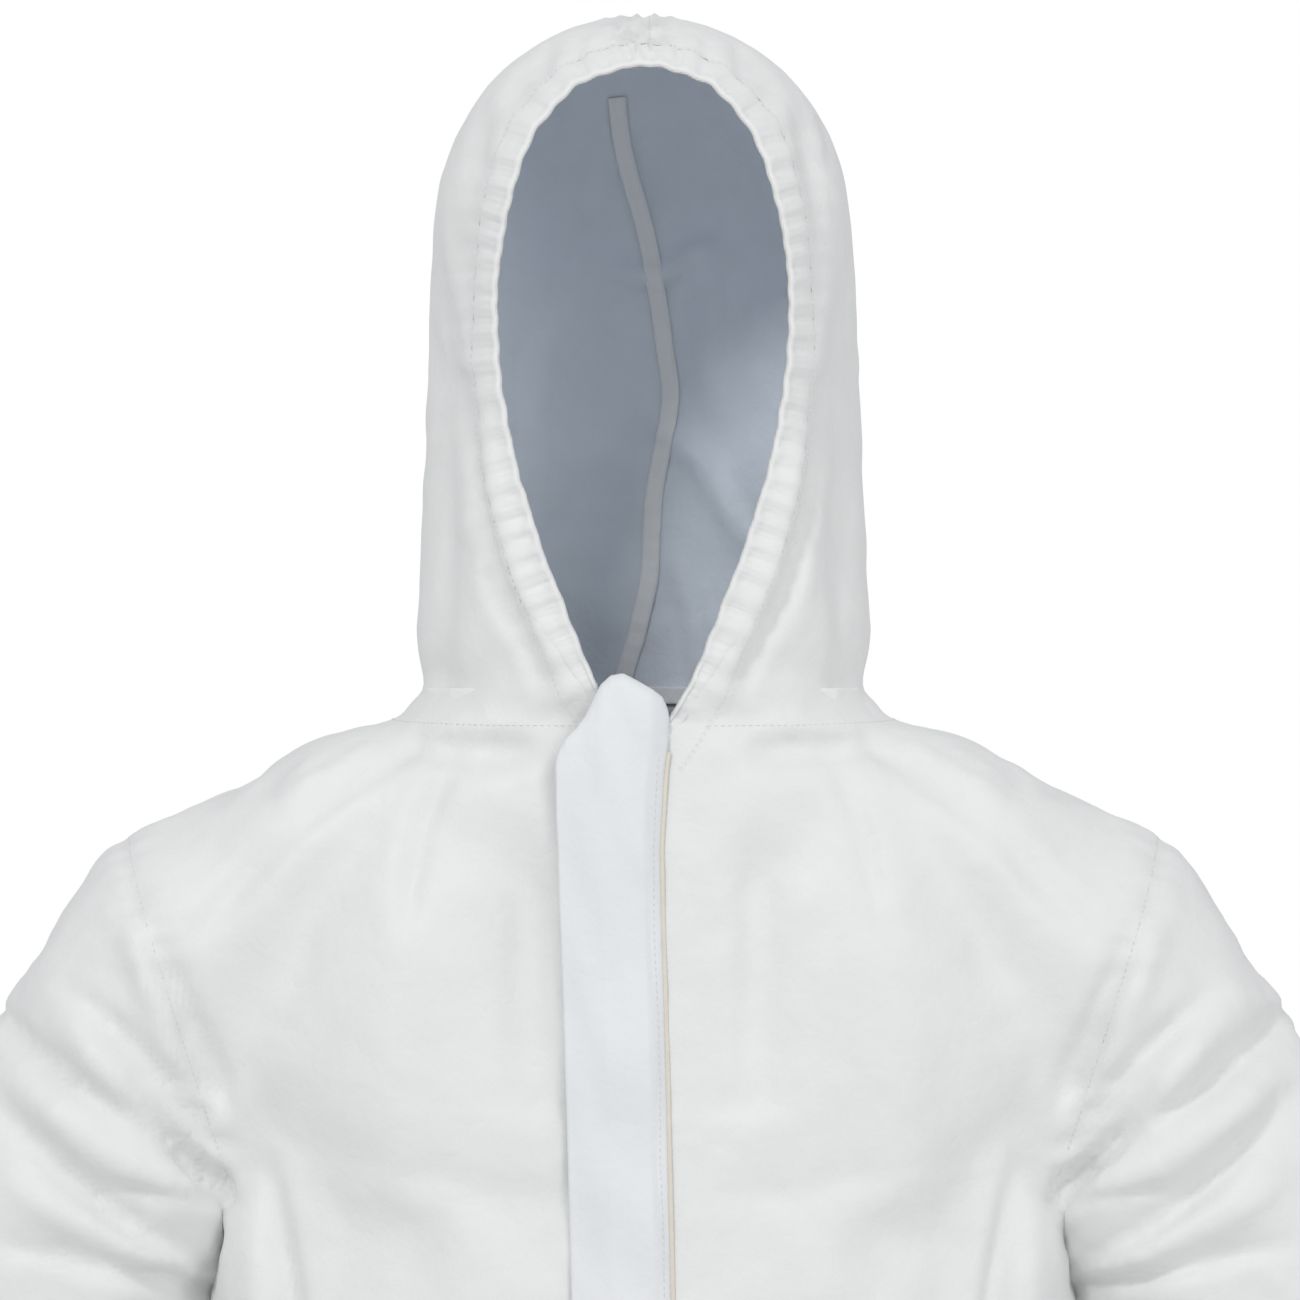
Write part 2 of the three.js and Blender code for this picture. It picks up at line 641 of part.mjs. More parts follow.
// The pull tab's top bar lies inside the bail, and the bail's lower post passes through its eye.
const tabPlay = 0.5; // between the tab and the bail's posts
const tabBack = plateFront - 0.9;
const tabTop = bailTop - bailPost - tabPlay;
const tabBarEnd = bailEnd + bailPost + tabPlay;
const eyeHalf = bailWidth / 2 + 0.6;
const eyeEnd = bailEnd - 2 * tabPlay;
const tabFront = tabBack - tabThickness;
const tab = zipBlock(-tabWidth / 2, tabWidth / 2, tabFront, tabBack, tabTop - tabLength, tabTop);
addNode("zip_pull_tab", tab.subtract(zipBlock(-eyeHalf, eyeHalf, -far, 0, eyeEnd, tabBarEnd)), "slider");

// An inner guard behind the zip, sewn beside the left tape.
const guardFront = rearBack + 1;
const guardFoot = tapeSplit / 2 + tapeWidth + 0.4;
const guardTop = -9;
const guardBack = guardFront + 1.4;
const guardEdge = guardFoot + 8;
const footFront = tapeBehind + 0.2;
const guard = unionOf([
  zipBlock(-guardFoot, guardEdge, guardFront, guardBack, -zipLength, guardTop),
  zipBlock(guardFoot, guardEdge, footFront, guardBack, -zipLength, guardTop),
]);
addNode("inner_zip_guard", guard, "cloth");

// ---------------------------------------------------------------- storm flap

// A cut across the flap, from its root over the zip to its free edge. It stands clear of the pull tab.
const flapInside = [
  new THREE.Vector2(flapRoot, 0),
  new THREE.Vector2(flapRoot - 4, -3.5),
  new THREE.Vector2(tabWidth / 2 + 1.3, -flapPuff + 0.8),
  new THREE.Vector2(-8, -flapPuff),
  new THREE.Vector2(-flapFree + 20, -flapPuff + 4.5),
  new THREE.Vector2(-flapFree + 14, -flapLie),
  new THREE.Vector2(-flapFree, -flapLie),
];
const flapSection = [...flapInside, ...offsetLine(flapInside, flapThickness).reverse()];

// Its upper end rises to a soft peak over the chin.
const flapOutline = [
  new THREE.Vector2(-flapFree - 1, -zipLength - flapBelow),
  new THREE.Vector2(flapRoot + 1, -zipLength - flapBelow),
  new THREE.Vector2(flapRoot + 1, 2),
  new THREE.Vector2(flapRoot - 1, 13),
  new THREE.Vector2(10, 24),
  new THREE.Vector2(-1, 30),
  new THREE.Vector2(-13, 35.5),
  new THREE.Vector2(-21, 28),
  new THREE.Vector2(-25, 19),
  new THREE.Vector2(-32, 7),
  new THREE.Vector2(-40, 3),
  new THREE.Vector2(-flapFree - 1, -6),
];
const stripReach = 3 * ends; // the section is drawn out past both ends and cut to the outline
const flapLength = { depth: zipLength + 2 * stripReach, bevelEnabled: false };
const flapStrip = new THREE.ExtrudeGeometry(new THREE.Shape(flapSection), flapLength);
const longFlap = solid(onZip(flapStrip.translate(0, 0, -zipLength - stripReach)));
const flapCutter = solid(onZip(frontPrism(flapOutline, -2 * ends, ends)));
addNode("storm_flap", longFlap.intersect(flapCutter), "cloth");

const adhesiveEdge = -flapFree + 1;
const adhesiveFront = -flapLie + gap;
const adhesiveTop = -8;
const adhesiveAcross = [adhesiveEdge, adhesiveEdge + adhesiveWidth];
const adhesiveDepths = [adhesiveFront, adhesiveFront + adhesiveThickness];
const adhesiveStrip = zipBlock(...adhesiveAcross, ...adhesiveDepths, -zipLength + flapBelow, adhesiveTop);
addNode("flap_adhesive_strip", adhesiveStrip, "adhesive");

// The flap's seam allowance stays on the left front panel.
const seamStripNear = flapRoot + 1.6;
const seamStripFar = flapRoot + 8;
const seamStrip = zipBlock(seamStripNear, seamStripFar, -0.9, 0.2, -zipLength, -2);
addNode("flap_seam_strip", seamStrip, "cloth");

export default group;
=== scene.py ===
"""A hooded chemical protective coverall, its cloth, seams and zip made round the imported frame."""
import math

import bmesh
import bpy
import numpy as np
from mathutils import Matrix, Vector
from mathutils.bvhtree import BVHTree


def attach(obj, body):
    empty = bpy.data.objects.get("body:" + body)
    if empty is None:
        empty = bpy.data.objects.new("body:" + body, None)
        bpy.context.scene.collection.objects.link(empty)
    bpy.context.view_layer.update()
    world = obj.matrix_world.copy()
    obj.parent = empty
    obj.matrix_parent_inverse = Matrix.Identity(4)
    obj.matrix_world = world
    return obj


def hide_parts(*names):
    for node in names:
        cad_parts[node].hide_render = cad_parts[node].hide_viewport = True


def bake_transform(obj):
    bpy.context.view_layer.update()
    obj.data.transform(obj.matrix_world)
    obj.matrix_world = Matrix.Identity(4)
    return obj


bl_info = {
    "name": "Protective Coverall",
    "version": (1, 0, 0),
    "blender": (4, 5, 0),
    "location": "3D View > Sidebar > Coverall",
    "description": "Makes a hooded disposable coverall round its packed frame",
    "category": "Object",
}

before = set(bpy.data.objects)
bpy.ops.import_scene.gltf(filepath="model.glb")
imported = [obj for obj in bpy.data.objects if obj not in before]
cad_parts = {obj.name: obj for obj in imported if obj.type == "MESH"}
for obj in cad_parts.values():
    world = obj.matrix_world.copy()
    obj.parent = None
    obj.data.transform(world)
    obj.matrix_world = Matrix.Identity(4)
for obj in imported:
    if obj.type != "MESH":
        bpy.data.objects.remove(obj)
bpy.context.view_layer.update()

# ------------------------------------------------------------------ the suit's outline, in metres

ARM_ANGLE = math.radians(30)
ARM_DOWN = np.array((math.sin(ARM_ANGLE), 0.0, -math.cos(ARM_ANGLE)))
SHOULDER = np.array((0.225, 0.005, -0.125))
SLEEVE_END = 0.580
SLEEVE_JOIN = 0.208
ANKLE_END = -1.385
WAIST = -0.430
PANEL_HEM = -0.500
CROTCH = -0.735
GROIN_BEND = 0.120
KNEE = -0.975
NECK_SLOPE = 0.03
NECK_LEVEL = -0.001
ARMHOLE_TOP = np.array((0.266, -0.065))
ARMPIT = np.array((0.211, -0.246))
CROWN = 0.354
HOOD_ROUND = 0.246
ZIP_TOP = np.array((0.0, -0.090, -0.016))
ZIP_LENGTH = 0.640
ZIP_LEAN = math.atan2(0.036, ZIP_LENGTH)
ZIP_UP = np.array((0.0, math.sin(ZIP_LEAN), math.cos(ZIP_LEAN)))
ZIP_OUT = np.array((0.0, -math.cos(ZIP_LEAN), math.sin(ZIP_LEAN)))

ZIP_SLOT = 0.0065  # half the gap between the front panels
SHOULDER_BEND = 0.078  # the cloth that bends past the armhole
BAND_STEP = 0.0020  # spacing of the face hem's rows
BAND_STEPS = 11

# Places that shape the storm flap: height and x of its two long edges, x and height of its upper end, and
# how far it stands off the zip at shares of its width.
FLAP_FREE = (
    (-0.700, -0.0350), (-0.294, -0.0350), (-0.200, -0.0376),
    (-0.120, -0.0405), (-0.050, -0.0434), (0.020, -0.0434),
)
FLAP_ROOT = (
    (-0.700, 0.0134), (-0.294, 0.0134), (-0.180, 0.0108), (-0.100, 0.0084),
    (-0.069, 0.0078), (-0.030, 0.0100), (-0.008, 0.0130), (0.020, 0.0130),
)
FLAP_TOP = (
    (-0.0440, -0.0320), (-0.0425, -0.0220), (-0.0385, -0.0145), (-0.0330, -0.0090), (-0.0285, -0.0030),
    (-0.0245, 0.0050), (-0.0210, 0.0125), (-0.0160, 0.0172), (-0.0100, 0.0182), (-0.0030, 0.0145),
    (0.0040, 0.0105), (0.0095, 0.0065), (0.0118, 0.0010), (0.0140, -0.0120),
)
FLAP_RISE = (
    (0.00, 0.0012), (0.05, 0.0040), (0.16, 0.0085), (0.36, 0.0103),
    (0.58, 0.0095), (0.80, 0.0062), (0.93, 0.0040), (1.00, 0.0030),
)

# The binding strip's line on the back of the hood, in the front view.
BINDING_LINE = (
    (-0.0140, 0.322), (-0.0120, 0.301), (-0.0085, 0.285), (-0.0015, 0.262), (0.0030, 0.243), (0.0060, 0.226),
    (0.0095, 0.206), (0.0112, 0.191), (0.0148, 0.166), (0.0112, 0.140), (0.0060, 0.116), (0.0045, 0.094),
    (0.0035, 0.071), (0.0000, 0.054), (-0.0040, 0.036), (-0.0090, 0.021), (-0.0120, 0.006),
)

RING_KEYS = ("x", "y", "z", "a", "f", "b", "n", "dip")


def ring(z, a, f, b, n=2.0, x=0.0, y=0.0, dip=0.0):
    """One oval outline: centre, half width, depth to the front and back, squareness, and dip at the front."""
    return dict(zip(RING_KEYS, (x, y, z, a, f, b, n, dip)))


def front_at(z):
    """How far forward the front of the suit is at a height."""
    return -ZIP_TOP[1] + (ZIP_TOP[2] - z) * math.tan(ZIP_LEAN)


def torso_rings():
    """Rings down the body from the neck to the seat."""
    rows = (
        (0.004, 0.112, 0.090, 2.0, 0.010),
        (-0.008, 0.128, 0.096, 2.05, 0.016),
        (-0.018, 0.154, 0.100, 2.1, 0.022),
        (-0.034, 0.188, 0.105, 2.2, 0.028),
        (-0.054, 0.240, 0.112, 2.2, 0.034),
        (-0.080, 0.260, 0.119, 2.3, 0.036),
        (-0.125, 0.254, 0.126, 2.4, 0.026),
        (-0.185, 0.233, 0.131, 2.5, 0.010),
        (-0.246, 0.212, 0.131, 2.5, 0.0),
        (-0.340, 0.207, 0.125, 2.5, 0.0),
        (-0.430, 0.196, 0.109, 2.5, 0.0),
        (-0.500, 0.205, 0.119, 2.5, 0.0),
        (-0.590, 0.211, 0.130, 2.5, 0.0),
        (-0.660, 0.209, 0.127, 2.6, 0.0),
        (-0.705, 0.200, 0.121, 2.6, 0.0),
    )
    return [ring(z, a, front_at(z - dip), b, n, dip=dip) for z, a, b, n, dip in rows]


def leg_rings(side):
    """Rings down one leg."""
    rows = (
        (0.106, -0.600, 0.096, 0.116, 0.120, 2.3),
        (0.108, -0.700, 0.103, 0.118, 0.120, 2.3),
        (0.112, -0.790, 0.103, 0.112, 0.113, 2.2),
        (0.117, -0.880, 0.097, 0.103, 0.104, 2.1),
        (0.123, KNEE, 0.091, 0.097, 0.096, 2.1),
        (0.128, -1.070, 0.086, 0.089, 0.091, 2.1),
        (0.135, -1.210, 0.077, 0.080, 0.083, 2.0),
        (0.140, -1.325, 0.068, 0.070, 0.073, 2.0),
        (0.142, -1.352, 0.058, 0.058, 0.060, 2.0),
        (0.142, -1.367, 0.051, 0.051, 0.053, 2.0),
        (0.142, -1.385, 0.052, 0.052, 0.054, 2.0),
        (0.142, -1.410, 0.053, 0.053, 0.055, 2.0),
    )
    return [ring(z, a, f, b, n, x=side * x) for x, z, a, f, b, n in rows]


def sleeve_rings():
    """Rings down one sleeve, written upright with the shoulder joint at the origin."""
    rows = [(0.0725 * math.sin(t), 0.0725 * math.cos(t), 0.080 * math.cos(t)) for t in (1.45, 1.2, 0.8, 0.4)]
    rows += [
        (0.0, 0.0725, 0.080),
        (-0.130, 0.0745, 0.080),
        (-0.215, 0.070, 0.075),
        (-0.290, 0.066, 0.070),
        (-0.365, 0.062, 0.065),
        (-0.450, 0.057, 0.059),
        (-0.525, 0.051, 0.053),
        (-0.550, 0.043, 0.045),
        (-0.565, 0.037, 0.038),
        (-0.580, 0.0375, 0.0385),
        (-0.600, 0.038, 0.039),
    ]
    return [ring(z, a, d, d) for z, a, d in rows]


def hood_rings():
    """Rings from the crown down to the neck."""
    rows = []
    for turn in (1.52, 1.38, 1.15, 0.9, 0.65, 0.42, 0.2):
        rise = math.sin(turn)
        rows.append((HOOD_ROUND + (CROWN - HOOD_ROUND) * rise, math.cos(turn)))
    rings = [ring(z, 0.106 * c, 0.114 * c, 0.126 * c, 2.1) for z, c in rows]
    for z in (HOOD_ROUND, 0.185, 0.120, 0.060, 0.020, -0.004, -0.030):
        up = min(max(z / HOOD_ROUND, 0.0), 1.0)
        wide = 0.1175 + (0.106 - 0.1175) * up
        ahead = 0.089 + (0.114 - 0.089) * up**0.8
        back = 0.092 + (0.126 - 0.092) * up**0.8
        rings.append(ring(z, wide, ahead, back, 2.0 + 0.1 * up))
    return rings


def face_line(count=220):
    """The face opening's edge in the front view, from the chin up one side and down the other."""
    half = np.array((
        (0.004, -0.018), (0.013, -0.004), (0.025, 0.016), (0.036, 0.043), (0.049, 0.076), (0.059, 0.106),
        (0.0675, 0.138), (0.0735, 0.178), (0.074, 0.214), (0.069, 0.250), (0.058, 0.286), (0.045, 0.304),
        (0.030, 0.318), (0.0, 0.3275),
    ))
    side = catmull(half, 10)
    away = side[::-1][1:] * (-1, 1)
    line = np.vstack((side, away))
    length = np.concatenate(((0.0,), np.cumsum(np.linalg.norm(np.diff(line, axis=0), axis=1))))
    even = np.linspace(0, length[-1], count)
    return np.column_stack([np.interp(even, length, line[:, k]) for k in (0, 1)])


def catmull(points, steps):
    """A smooth line through points, with steps places between each two."""
    ends = np.vstack((2 * points[0] - points[1], points, 2 * points[-1] - points[-2]))
    places = []
    for i in range(1, len(ends) - 2):
        p0, p1, p2, p3 = ends[i - 1:i + 3]
        for t in np.arange(steps) / steps:
            places.append(0.5 * (2 * p1 + (p2 - p0) * t + (2 * p0 - 5 * p1 + 4 * p2 - p3) * t**2
                                 + (3 * p1 - p0 - 3 * p2 + p3) * t**3))
    places.append(points[-1])
    return np.array(places)


# ------------------------------------------------------------------ mesh tools


def mesh_object(name, verts, faces):
    """A new object with a plain mesh."""
    mesh = bpy.data.meshes.new(name)
    mesh.from_pydata([tuple(v) for v in verts], [], [tuple(f) for f in faces])
    mesh.update()
    made = bpy.data.objects.new(name, mesh)
    bpy.context.scene.collection.objects.link(made)
    return made


def loft(rings, place=None, segments=72, steps=5):
    """Vertices and faces of a closed body through oval rings, first ring on top."""
    rows = catmull(np.array([[row[key] for key in RING_KEYS] for row in rings]), steps)
    turn = 2 * math.pi * np.arange(segments) / segments
    across, ahead = np.sin(turn), np.cos(turn)
    verts = []
    for x, y, z, a, f, b, n, dip in rows:
        power = 2 / n
        depth = np.where(ahead > 0, f, b)
        verts.append(np.column_stack((
            x + a * np.sign(across) * np.abs(across) ** power,
            y - depth * np.sign(ahead) * np.abs(ahead) ** power,
            z - dip * np.maximum(ahead, 0) ** 2,
        )))
    verts = np.vstack(verts)
    if place is not None:
        verts = np.array([place(v) for v in verts])
    faces = []
    for r in range(len(rows) - 1):
        for k in range(segments):
            after = (k + 1) % segments
            top, low = r * segments, (r + 1) * segments
            faces.append((top + k, low + k, low + after, top + after))
    faces.append(tuple(range(segments)))
    last = (len(rows) - 1) * segments
    faces.append(tuple(last + k for k in reversed(range(segments))))
    return verts, faces


def arm_place(side):
    """Turns places beside an upright arm into places beside the raised one."""
    def place(v):
        x, y, z = v
        c, s = math.cos(ARM_ANGLE), math.sin(ARM_ANGLE)
        return (side * (SHOULDER[0] + x * c - z * s), SHOULDER[1] + y, SHOULDER[2] + x * s + z * c)
    return place


def joined(name, bodies):
    """One object that holds several closed bodies."""
    verts, faces, start = [], [], 0
    for body_verts, body_faces in bodies:
        verts.append(body_verts)
        faces += [tuple(i + start for i in face) for face in body_faces]
        start += len(body_verts)
    return mesh_object(name, np.vstack(verts), faces)


def take_evaluated(piece):
    """Applies a piece's modifiers by swapping in its evaluated mesh."""
    graph = bpy.context.evaluated_depsgraph_get()
    mesh = bpy.data.meshes.new_from_object(piece.evaluated_get(graph))
    old = piece.data
    piece.modifiers.clear()
    piece.data = mesh
    bpy.data.meshes.remove(old)
    return piece


def places(mesh):
    """A mesh's places, one row each."""
    flat = np.empty(len(mesh.vertices) * 3)
    mesh.vertices.foreach_get("co", flat)
    return flat.reshape(-1, 3)


def set_places(mesh, verts):
    """Moves a mesh's places."""
    mesh.vertices.foreach_set("co", np.ascontiguousarray(verts).ravel())
    mesh.update()


def normals_of(mesh):
    """The outward direction at each place."""
    flat = np.empty(len(mesh.vertices) * 3)
    mesh.vertex_normals.foreach_get("vector", flat)
    return flat.reshape(-1, 3)


def edges_of(mesh):
    """Pairs of neighbouring places."""
    flat = np.empty(len(mesh.edges) * 2, dtype=np.int64)
    mesh.edges.foreach_get("vertices", flat)
    return flat.reshape(-1, 2)


def relaxed(verts, edges, rounds, amount=0.5):
    """Evens a surface out by moving each point towards its neighbours."""
    count = np.bincount(edges.ravel(), minlength=len(verts))[:, None].clip(1)
    for _ in range(rounds):
        total = np.zeros_like(verts)
        np.add.at(total, edges[:, 0], verts[edges[:, 1]])
        np.add.at(total, edges[:, 1], verts[edges[:, 0]])
        verts = verts + amount * (total / count - verts)
    return verts


# ------------------------------------------------------------------ where a place on the suit lies


def smooth(x, low, high):
    """A soft step from 0 at low to 1 at high."""
    t = np.clip((x - low) / (high - low), 0, 1)
    return t * t * (3 - 2 * t)


def down_arm(p):
    """Distance down the nearer arm from its shoulder joint."""
    return (np.abs(p[:, 0]) - SHOULDER[0]) * ARM_DOWN[0] + (p[:, 2] - SHOULDER[2]) * ARM_DOWN[2]


def across_arm(p):
    """Distance from the nearer arm's axis in the front view, outwards and up positive."""
    out, up = np.abs(p[:, 0]) - SHOULDER[0], p[:, 2] - SHOULDER[2]
    return out * math.cos(ARM_ANGLE) + up * math.sin(ARM_ANGLE)


def past_armhole(p):
    """Distance past the armhole's plane, towards the sleeve."""
    run = ARMPIT - ARMHOLE_TOP
    run = run / np.linalg.norm(run)
    return (np.abs(p[:, 0]) - ARMPIT[0]) * -run[1] + (p[:, 2] - ARMPIT[1]) * run[0]


def above_neck(p):
    """Height above the slightly sloping neck seam."""
    return p[:, 2] - NECK_LEVEL - NECK_SLOPE * p[:, 1]


def is_sleeve(p):
    """Whether a place is on a sleeve."""
    beside = (p[:, 2] > ARMPIT[1]) | (np.abs(p[:, 0]) > ARMPIT[0] + 0.004)
    return (past_armhole(p) > 0) & beside & (p[:, 2] > CROTCH + 0.035)


def nearest_on_line(points, line):
    """Distance to a line of places, and how far along it the nearest place is."""
    start, step = line[:-1], np.diff(line, axis=0)
    length = np.linalg.norm(step, axis=1)
    begun = np.concatenate(((0.0,), np.cumsum(length)[:-1]))
    best = np.full(len(points), 1e9)
    along = np.zeros(len(points))
    for s, d, size, first in zip(start, step, length, begun):
        t = np.clip((points - s) @ d / max(size**2, 1e-12), 0, 1)
        away = np.linalg.norm(points - s - t[:, None] * d, axis=1)
        better = away < best
        best[better] = away[better]
        along[better] = first + t[better] * size
    return best, along


# ------------------------------------------------------------------ the cloth's body


def body_base(sizes):
    """The whole suit's outer surface as one even mesh, open at the face, wrists and ankles."""
    parts = [loft(torso_rings()), loft(hood_rings())]
    for side in (1, -1):
        parts.append(loft(leg_rings(side), segments=48))
        sleeve = loft(sleeve_rings(), place=arm_place(side), segments=48)
        if side < 0:
            sleeve = (sleeve[0], [tuple(reversed(face)) for face in sleeve[1]])
        parts.append(sleeve)
    whole = joined("suit_base", parts)
    remesh = whole.modifiers.new("even", "REMESH")
    remesh.mode = "VOXEL"
    remesh.voxel_size = sizes.cloth_grid
    take_evaluated(whole)
    verts = relaxed(places(whole.data), edges_of(whole.data), 6)
    set_places(whole.data, verts)
    return whole


def open_ends(whole):
    """Cuts the wrists and ankles square and opens the face."""
    net = bmesh.new()
    net.from_mesh(whole.data)
    tree = BVHTree.FromBMesh(net)

    def cut(near, place, normal):
        faces = [f for f in net.faces if near(f.calc_center_median())]
        verts = {v for f in faces for v in f.verts}
        edges = {e for f in faces for e in f.edges}
        bmesh.ops.bisect_plane(
            net, geom=faces + list(verts) + list(edges), plane_co=place, plane_no=normal, clear_outer=True
        )

    cut(lambda c: c.z < ANKLE_END + 0.04, (0, 0, ANKLE_END), (0, 0, -1))
    for side in (1, -1):
        end = arm_place(side)((0.0, 0.0, -SLEEVE_END))
        axis = (side * ARM_DOWN[0], 0, ARM_DOWN[2])
        cut(lambda c: side * c.x > 0.45, end, axis)

    line = face_line()
    outline = np.vstack((line, line[:1]))
    doomed = []
    for f in net.faces:
        c = f.calc_center_median()
        if c.y < -0.02 and c.z > -0.02 and inside_outline(c.x, c.z, outline):
            doomed.append(f)
    bmesh.ops.delete(net, geom=doomed, context="FACES")
    rim = [v for v in net.verts if v.is_boundary and v.co.y < -0.02 and v.co.z > -0.04 and abs(v.co.x) < 0.1]
    for v in rim:
        gaps = np.linalg.norm(line - (v.co.x, v.co.z), axis=1)
        x, z = line[int(np.argmin(gaps))]
        hit = tree.ray_cast(Vector((x, -0.5, z)), Vector((0, 1, 0)))
        if hit[0] is not None:
            v.co = hit[0]
    bmesh.ops.remove_doubles(net, verts=rim, dist=0.0015)
    loose = [v for v in net.verts if not v.link_faces]
    bmesh.ops.delete(net, geom=loose, context="VERTS")
    net.to_mesh(whole.data)
    net.free()
    whole.data.update()


def inside_outline(x, z, outline):
    """Whether a place lies within a closed outline."""
    inside = False
    for (x0, z0), (x1, z1) in zip(outline[:-1], outline[1:]):
        if (z0 > z) != (z1 > z) and x < x0 + (z - z0) * (x1 - x0) / (z1 - z0):
            inside = not inside
    return inside


# Folds of the worn suit in its front view, for both sides: places, half width and depth.
# A ridge's depth is positive.
FOLDS = (
    (((0.247, -0.116), (0.230, -0.150), (0.2125, -0.188)), 0.0060, -0.0065),
    (((0.238, -0.150), (0.226, -0.176), (0.2125, -0.200)), 0.0050, -0.0060),
    (((0.262, -0.178), (0.239, -0.214), (0.2105, -0.246)), 0.0060, -0.0080),
    (((0.287, -0.1415), (0.2505, -0.174), (0.2145, -0.2215)), 0.0055, -0.0050),
    (((0.330, -0.152), (0.310, -0.170), (0.245, -0.214), (0.215, -0.240)), 0.0060, -0.0050),
    (((0.330, -0.200), (0.316, -0.210), (0.264, -0.254), (0.222, -0.283)), 0.0060, -0.0060),
    (((0.275, -0.236), (0.2355, -0.2445), (0.213, -0.250)), 0.0040, -0.0030),
    (((0.335, -0.268), (0.290, -0.276), (0.222, -0.2925)), 0.0050, -0.0050),
    (((0.300, -0.145), (0.262, -0.190), (0.222, -0.236)), 0.0090, 0.0050),
    (((0.330, -0.180), (0.264, -0.226), (0.220, -0.250)), 0.0090, 0.0050),
    (((0.330, -0.235), (0.262, -0.268), (0.224, -0.280)), 0.0080, 0.0040),
    (((0.262, -0.100), (0.246, -0.140), (0.226, -0.180)), 0.0080, 0.0045),
    (((0.1875, -0.2255), (0.181, -0.262), (0.174, -0.310), (0.172, -0.390)), 0.0050, -0.0045),
    (((0.198, -0.232), (0.192, -0.300), (0.186, -0.380)), 0.0090, 0.0040),
    (((0.128, -0.012), (0.150, -0.026), (0.180, -0.042)), 0.0045, 0.0030),
    (((0.104, -0.010), (0.130, -0.028), (0.168, -0.052)), 0.0050, -0.0030),
    (((0.052, -0.006), (0.084, -0.007), (0.114, -0.010)), 0.0060, 0.0030),
    (((0.048, -0.018), (0.080, -0.021), (0.108, -0.022)), 0.0080, -0.0030),
    (((0.060, -0.026), (0.092, -0.075), (0.118, -0.140), (0.132, -0.230)), 0.0260, 0.0060),
    (((0.120, -0.040), (0.160, -0.090), (0.186, -0.150)), 0.0160, -0.0052),
    (((0.140, -0.034), (0.186, -0.070), (0.222, -0.110)), 0.0070, -0.0026),
    (((0.092, -0.020), (0.110, -0.060), (0.118, -0.105)), 0.0060, -0.0024),
    (((0.060, -0.050), (0.058, -0.110), (0.056, -0.190)), 0.0120, -0.0035),
    (((0.078, -0.240), (0.086, -0.330), (0.090, -0.410)), 0.0200, 0.0030),
    (((0.095, 0.190), (0.087, 0.124), (0.074, 0.070), (0.050, 0.018)), 0.0060, -0.0048),
    (((0.086, 0.160), (0.074, 0.104), (0.060, 0.056), (0.038, 0.010)), 0.0070, 0.0038),
    (((0.098, 0.240), (0.100, 0.120), (0.103, 0.020)), 0.0070, -0.0034),
    (((0.078, 0.310), (0.090, 0.250), (0.092, 0.190)), 0.0070, -0.0030),
    (((0.090, 0.270), (0.095, 0.180), (0.092, 0.090)), 0.0060, 0.0022),
    (((0.030, 0.347), (0.032, 0.336), (0.033, 0.330)), 0.0035, -0.0014),
    (((0.047, 0.343), (0.049, 0.331), (0.049, 0.322)), 0.0035, -0.0012),
)


# Creases at the back of the hood, which show through the face opening. These aren't mirrored.
NAPE_FOLDS = (
    (((-0.020, 0.232), (0.000, 0.227), (0.016, 0.231), (0.034, 0.243)), 0.0045, -0.0034),
    (((-0.016, 0.300), (-0.010, 0.284), (-0.001, 0.262)), 0.0050, -0.0030),
    (((0.004, 0.150), (0.030, 0.130), (0.052, 0.090)), 0.0060, -0.0022),
    (((0.024, 0.262), (0.036, 0.215), (0.034, 0.165)), 0.0060, -0.0020),
    (((-0.040, 0.215), (-0.056, 0.170), (-0.050, 0.110)), 0.0090, -0.0018),
    (((0.012, 0.090), (0.026, 0.050), (0.030, 0.010)), 0.0060, -0.0022),
)


def pushed(view, share, folds):
    """How far places in a flat view are pushed out by folds, each a line, a half width and a depth."""
    total = np.zeros(len(view))
    for line, width, depth in folds:
        path = catmull(np.array(line), 6)
        box_low, box_high = path.min(0) - 3 * width, path.max(0) + 3 * width
        near = np.all((view > box_low) & (view < box_high), axis=1) & (share > 0)
        if not near.any():
            continue
        away, along = nearest_on_line(view[near], path)
        whole = np.linalg.norm(np.diff(path, axis=0), axis=1).sum()
        taper = smooth(along / whole, -0.05, 0.35) * smooth(1 - along / whole, -0.25, 0.25)
        total[near] += depth * np.exp(-((away / width) ** 2)) * taper
    return total * share


def fold_moves(verts):
    """How far each place is pushed out by the folds of a worn suit."""
    front = smooth(-verts[:, 1], -0.015, 0.025)
    mirrored = np.column_stack((np.abs(verts[:, 0]), verts[:, 2]))
    behind = smooth(verts[:, 1], 0.0, 0.03)
    hood = above_neck(verts) > 0.01
    out = pushed(mirrored, front + 0.6 * behind * ~hood, FOLDS)
    return out + pushed(verts[:, (0, 2)], behind * hood, NAPE_FOLDS)


def fullness(verts):
    """How far the cloth stands out over the shoulders and hangs together under the arms."""
    across, height = np.abs(verts[:, 0]), verts[:, 2]
    sleeve = is_sleeve(verts)
    shoulder = np.exp(-(((across - 0.168) / 0.042) ** 2)) * smooth(height, -0.110, -0.050)
    shoulder *= above_neck(verts) < 0.006
    flank = np.exp(-(((height + 0.305) / 0.060) ** 2)) * smooth(across, 0.150, 0.190) * ~sleeve
    under = np.exp(-(((height + 0.290) / 0.050) ** 2)) * smooth(-across_arm(verts), 0.010, 0.050) * sleeve
    rise = above_neck(verts)
    neck = np.exp(-(((rise - 0.016) / 0.014) ** 2)) * smooth(rise, -0.008, 0.014)
    neck *= smooth(across, 0.070, 0.105)
    return 0.0085 * shoulder + 0.0135 * flank + 0.0160 * under - 0.0050 * neck


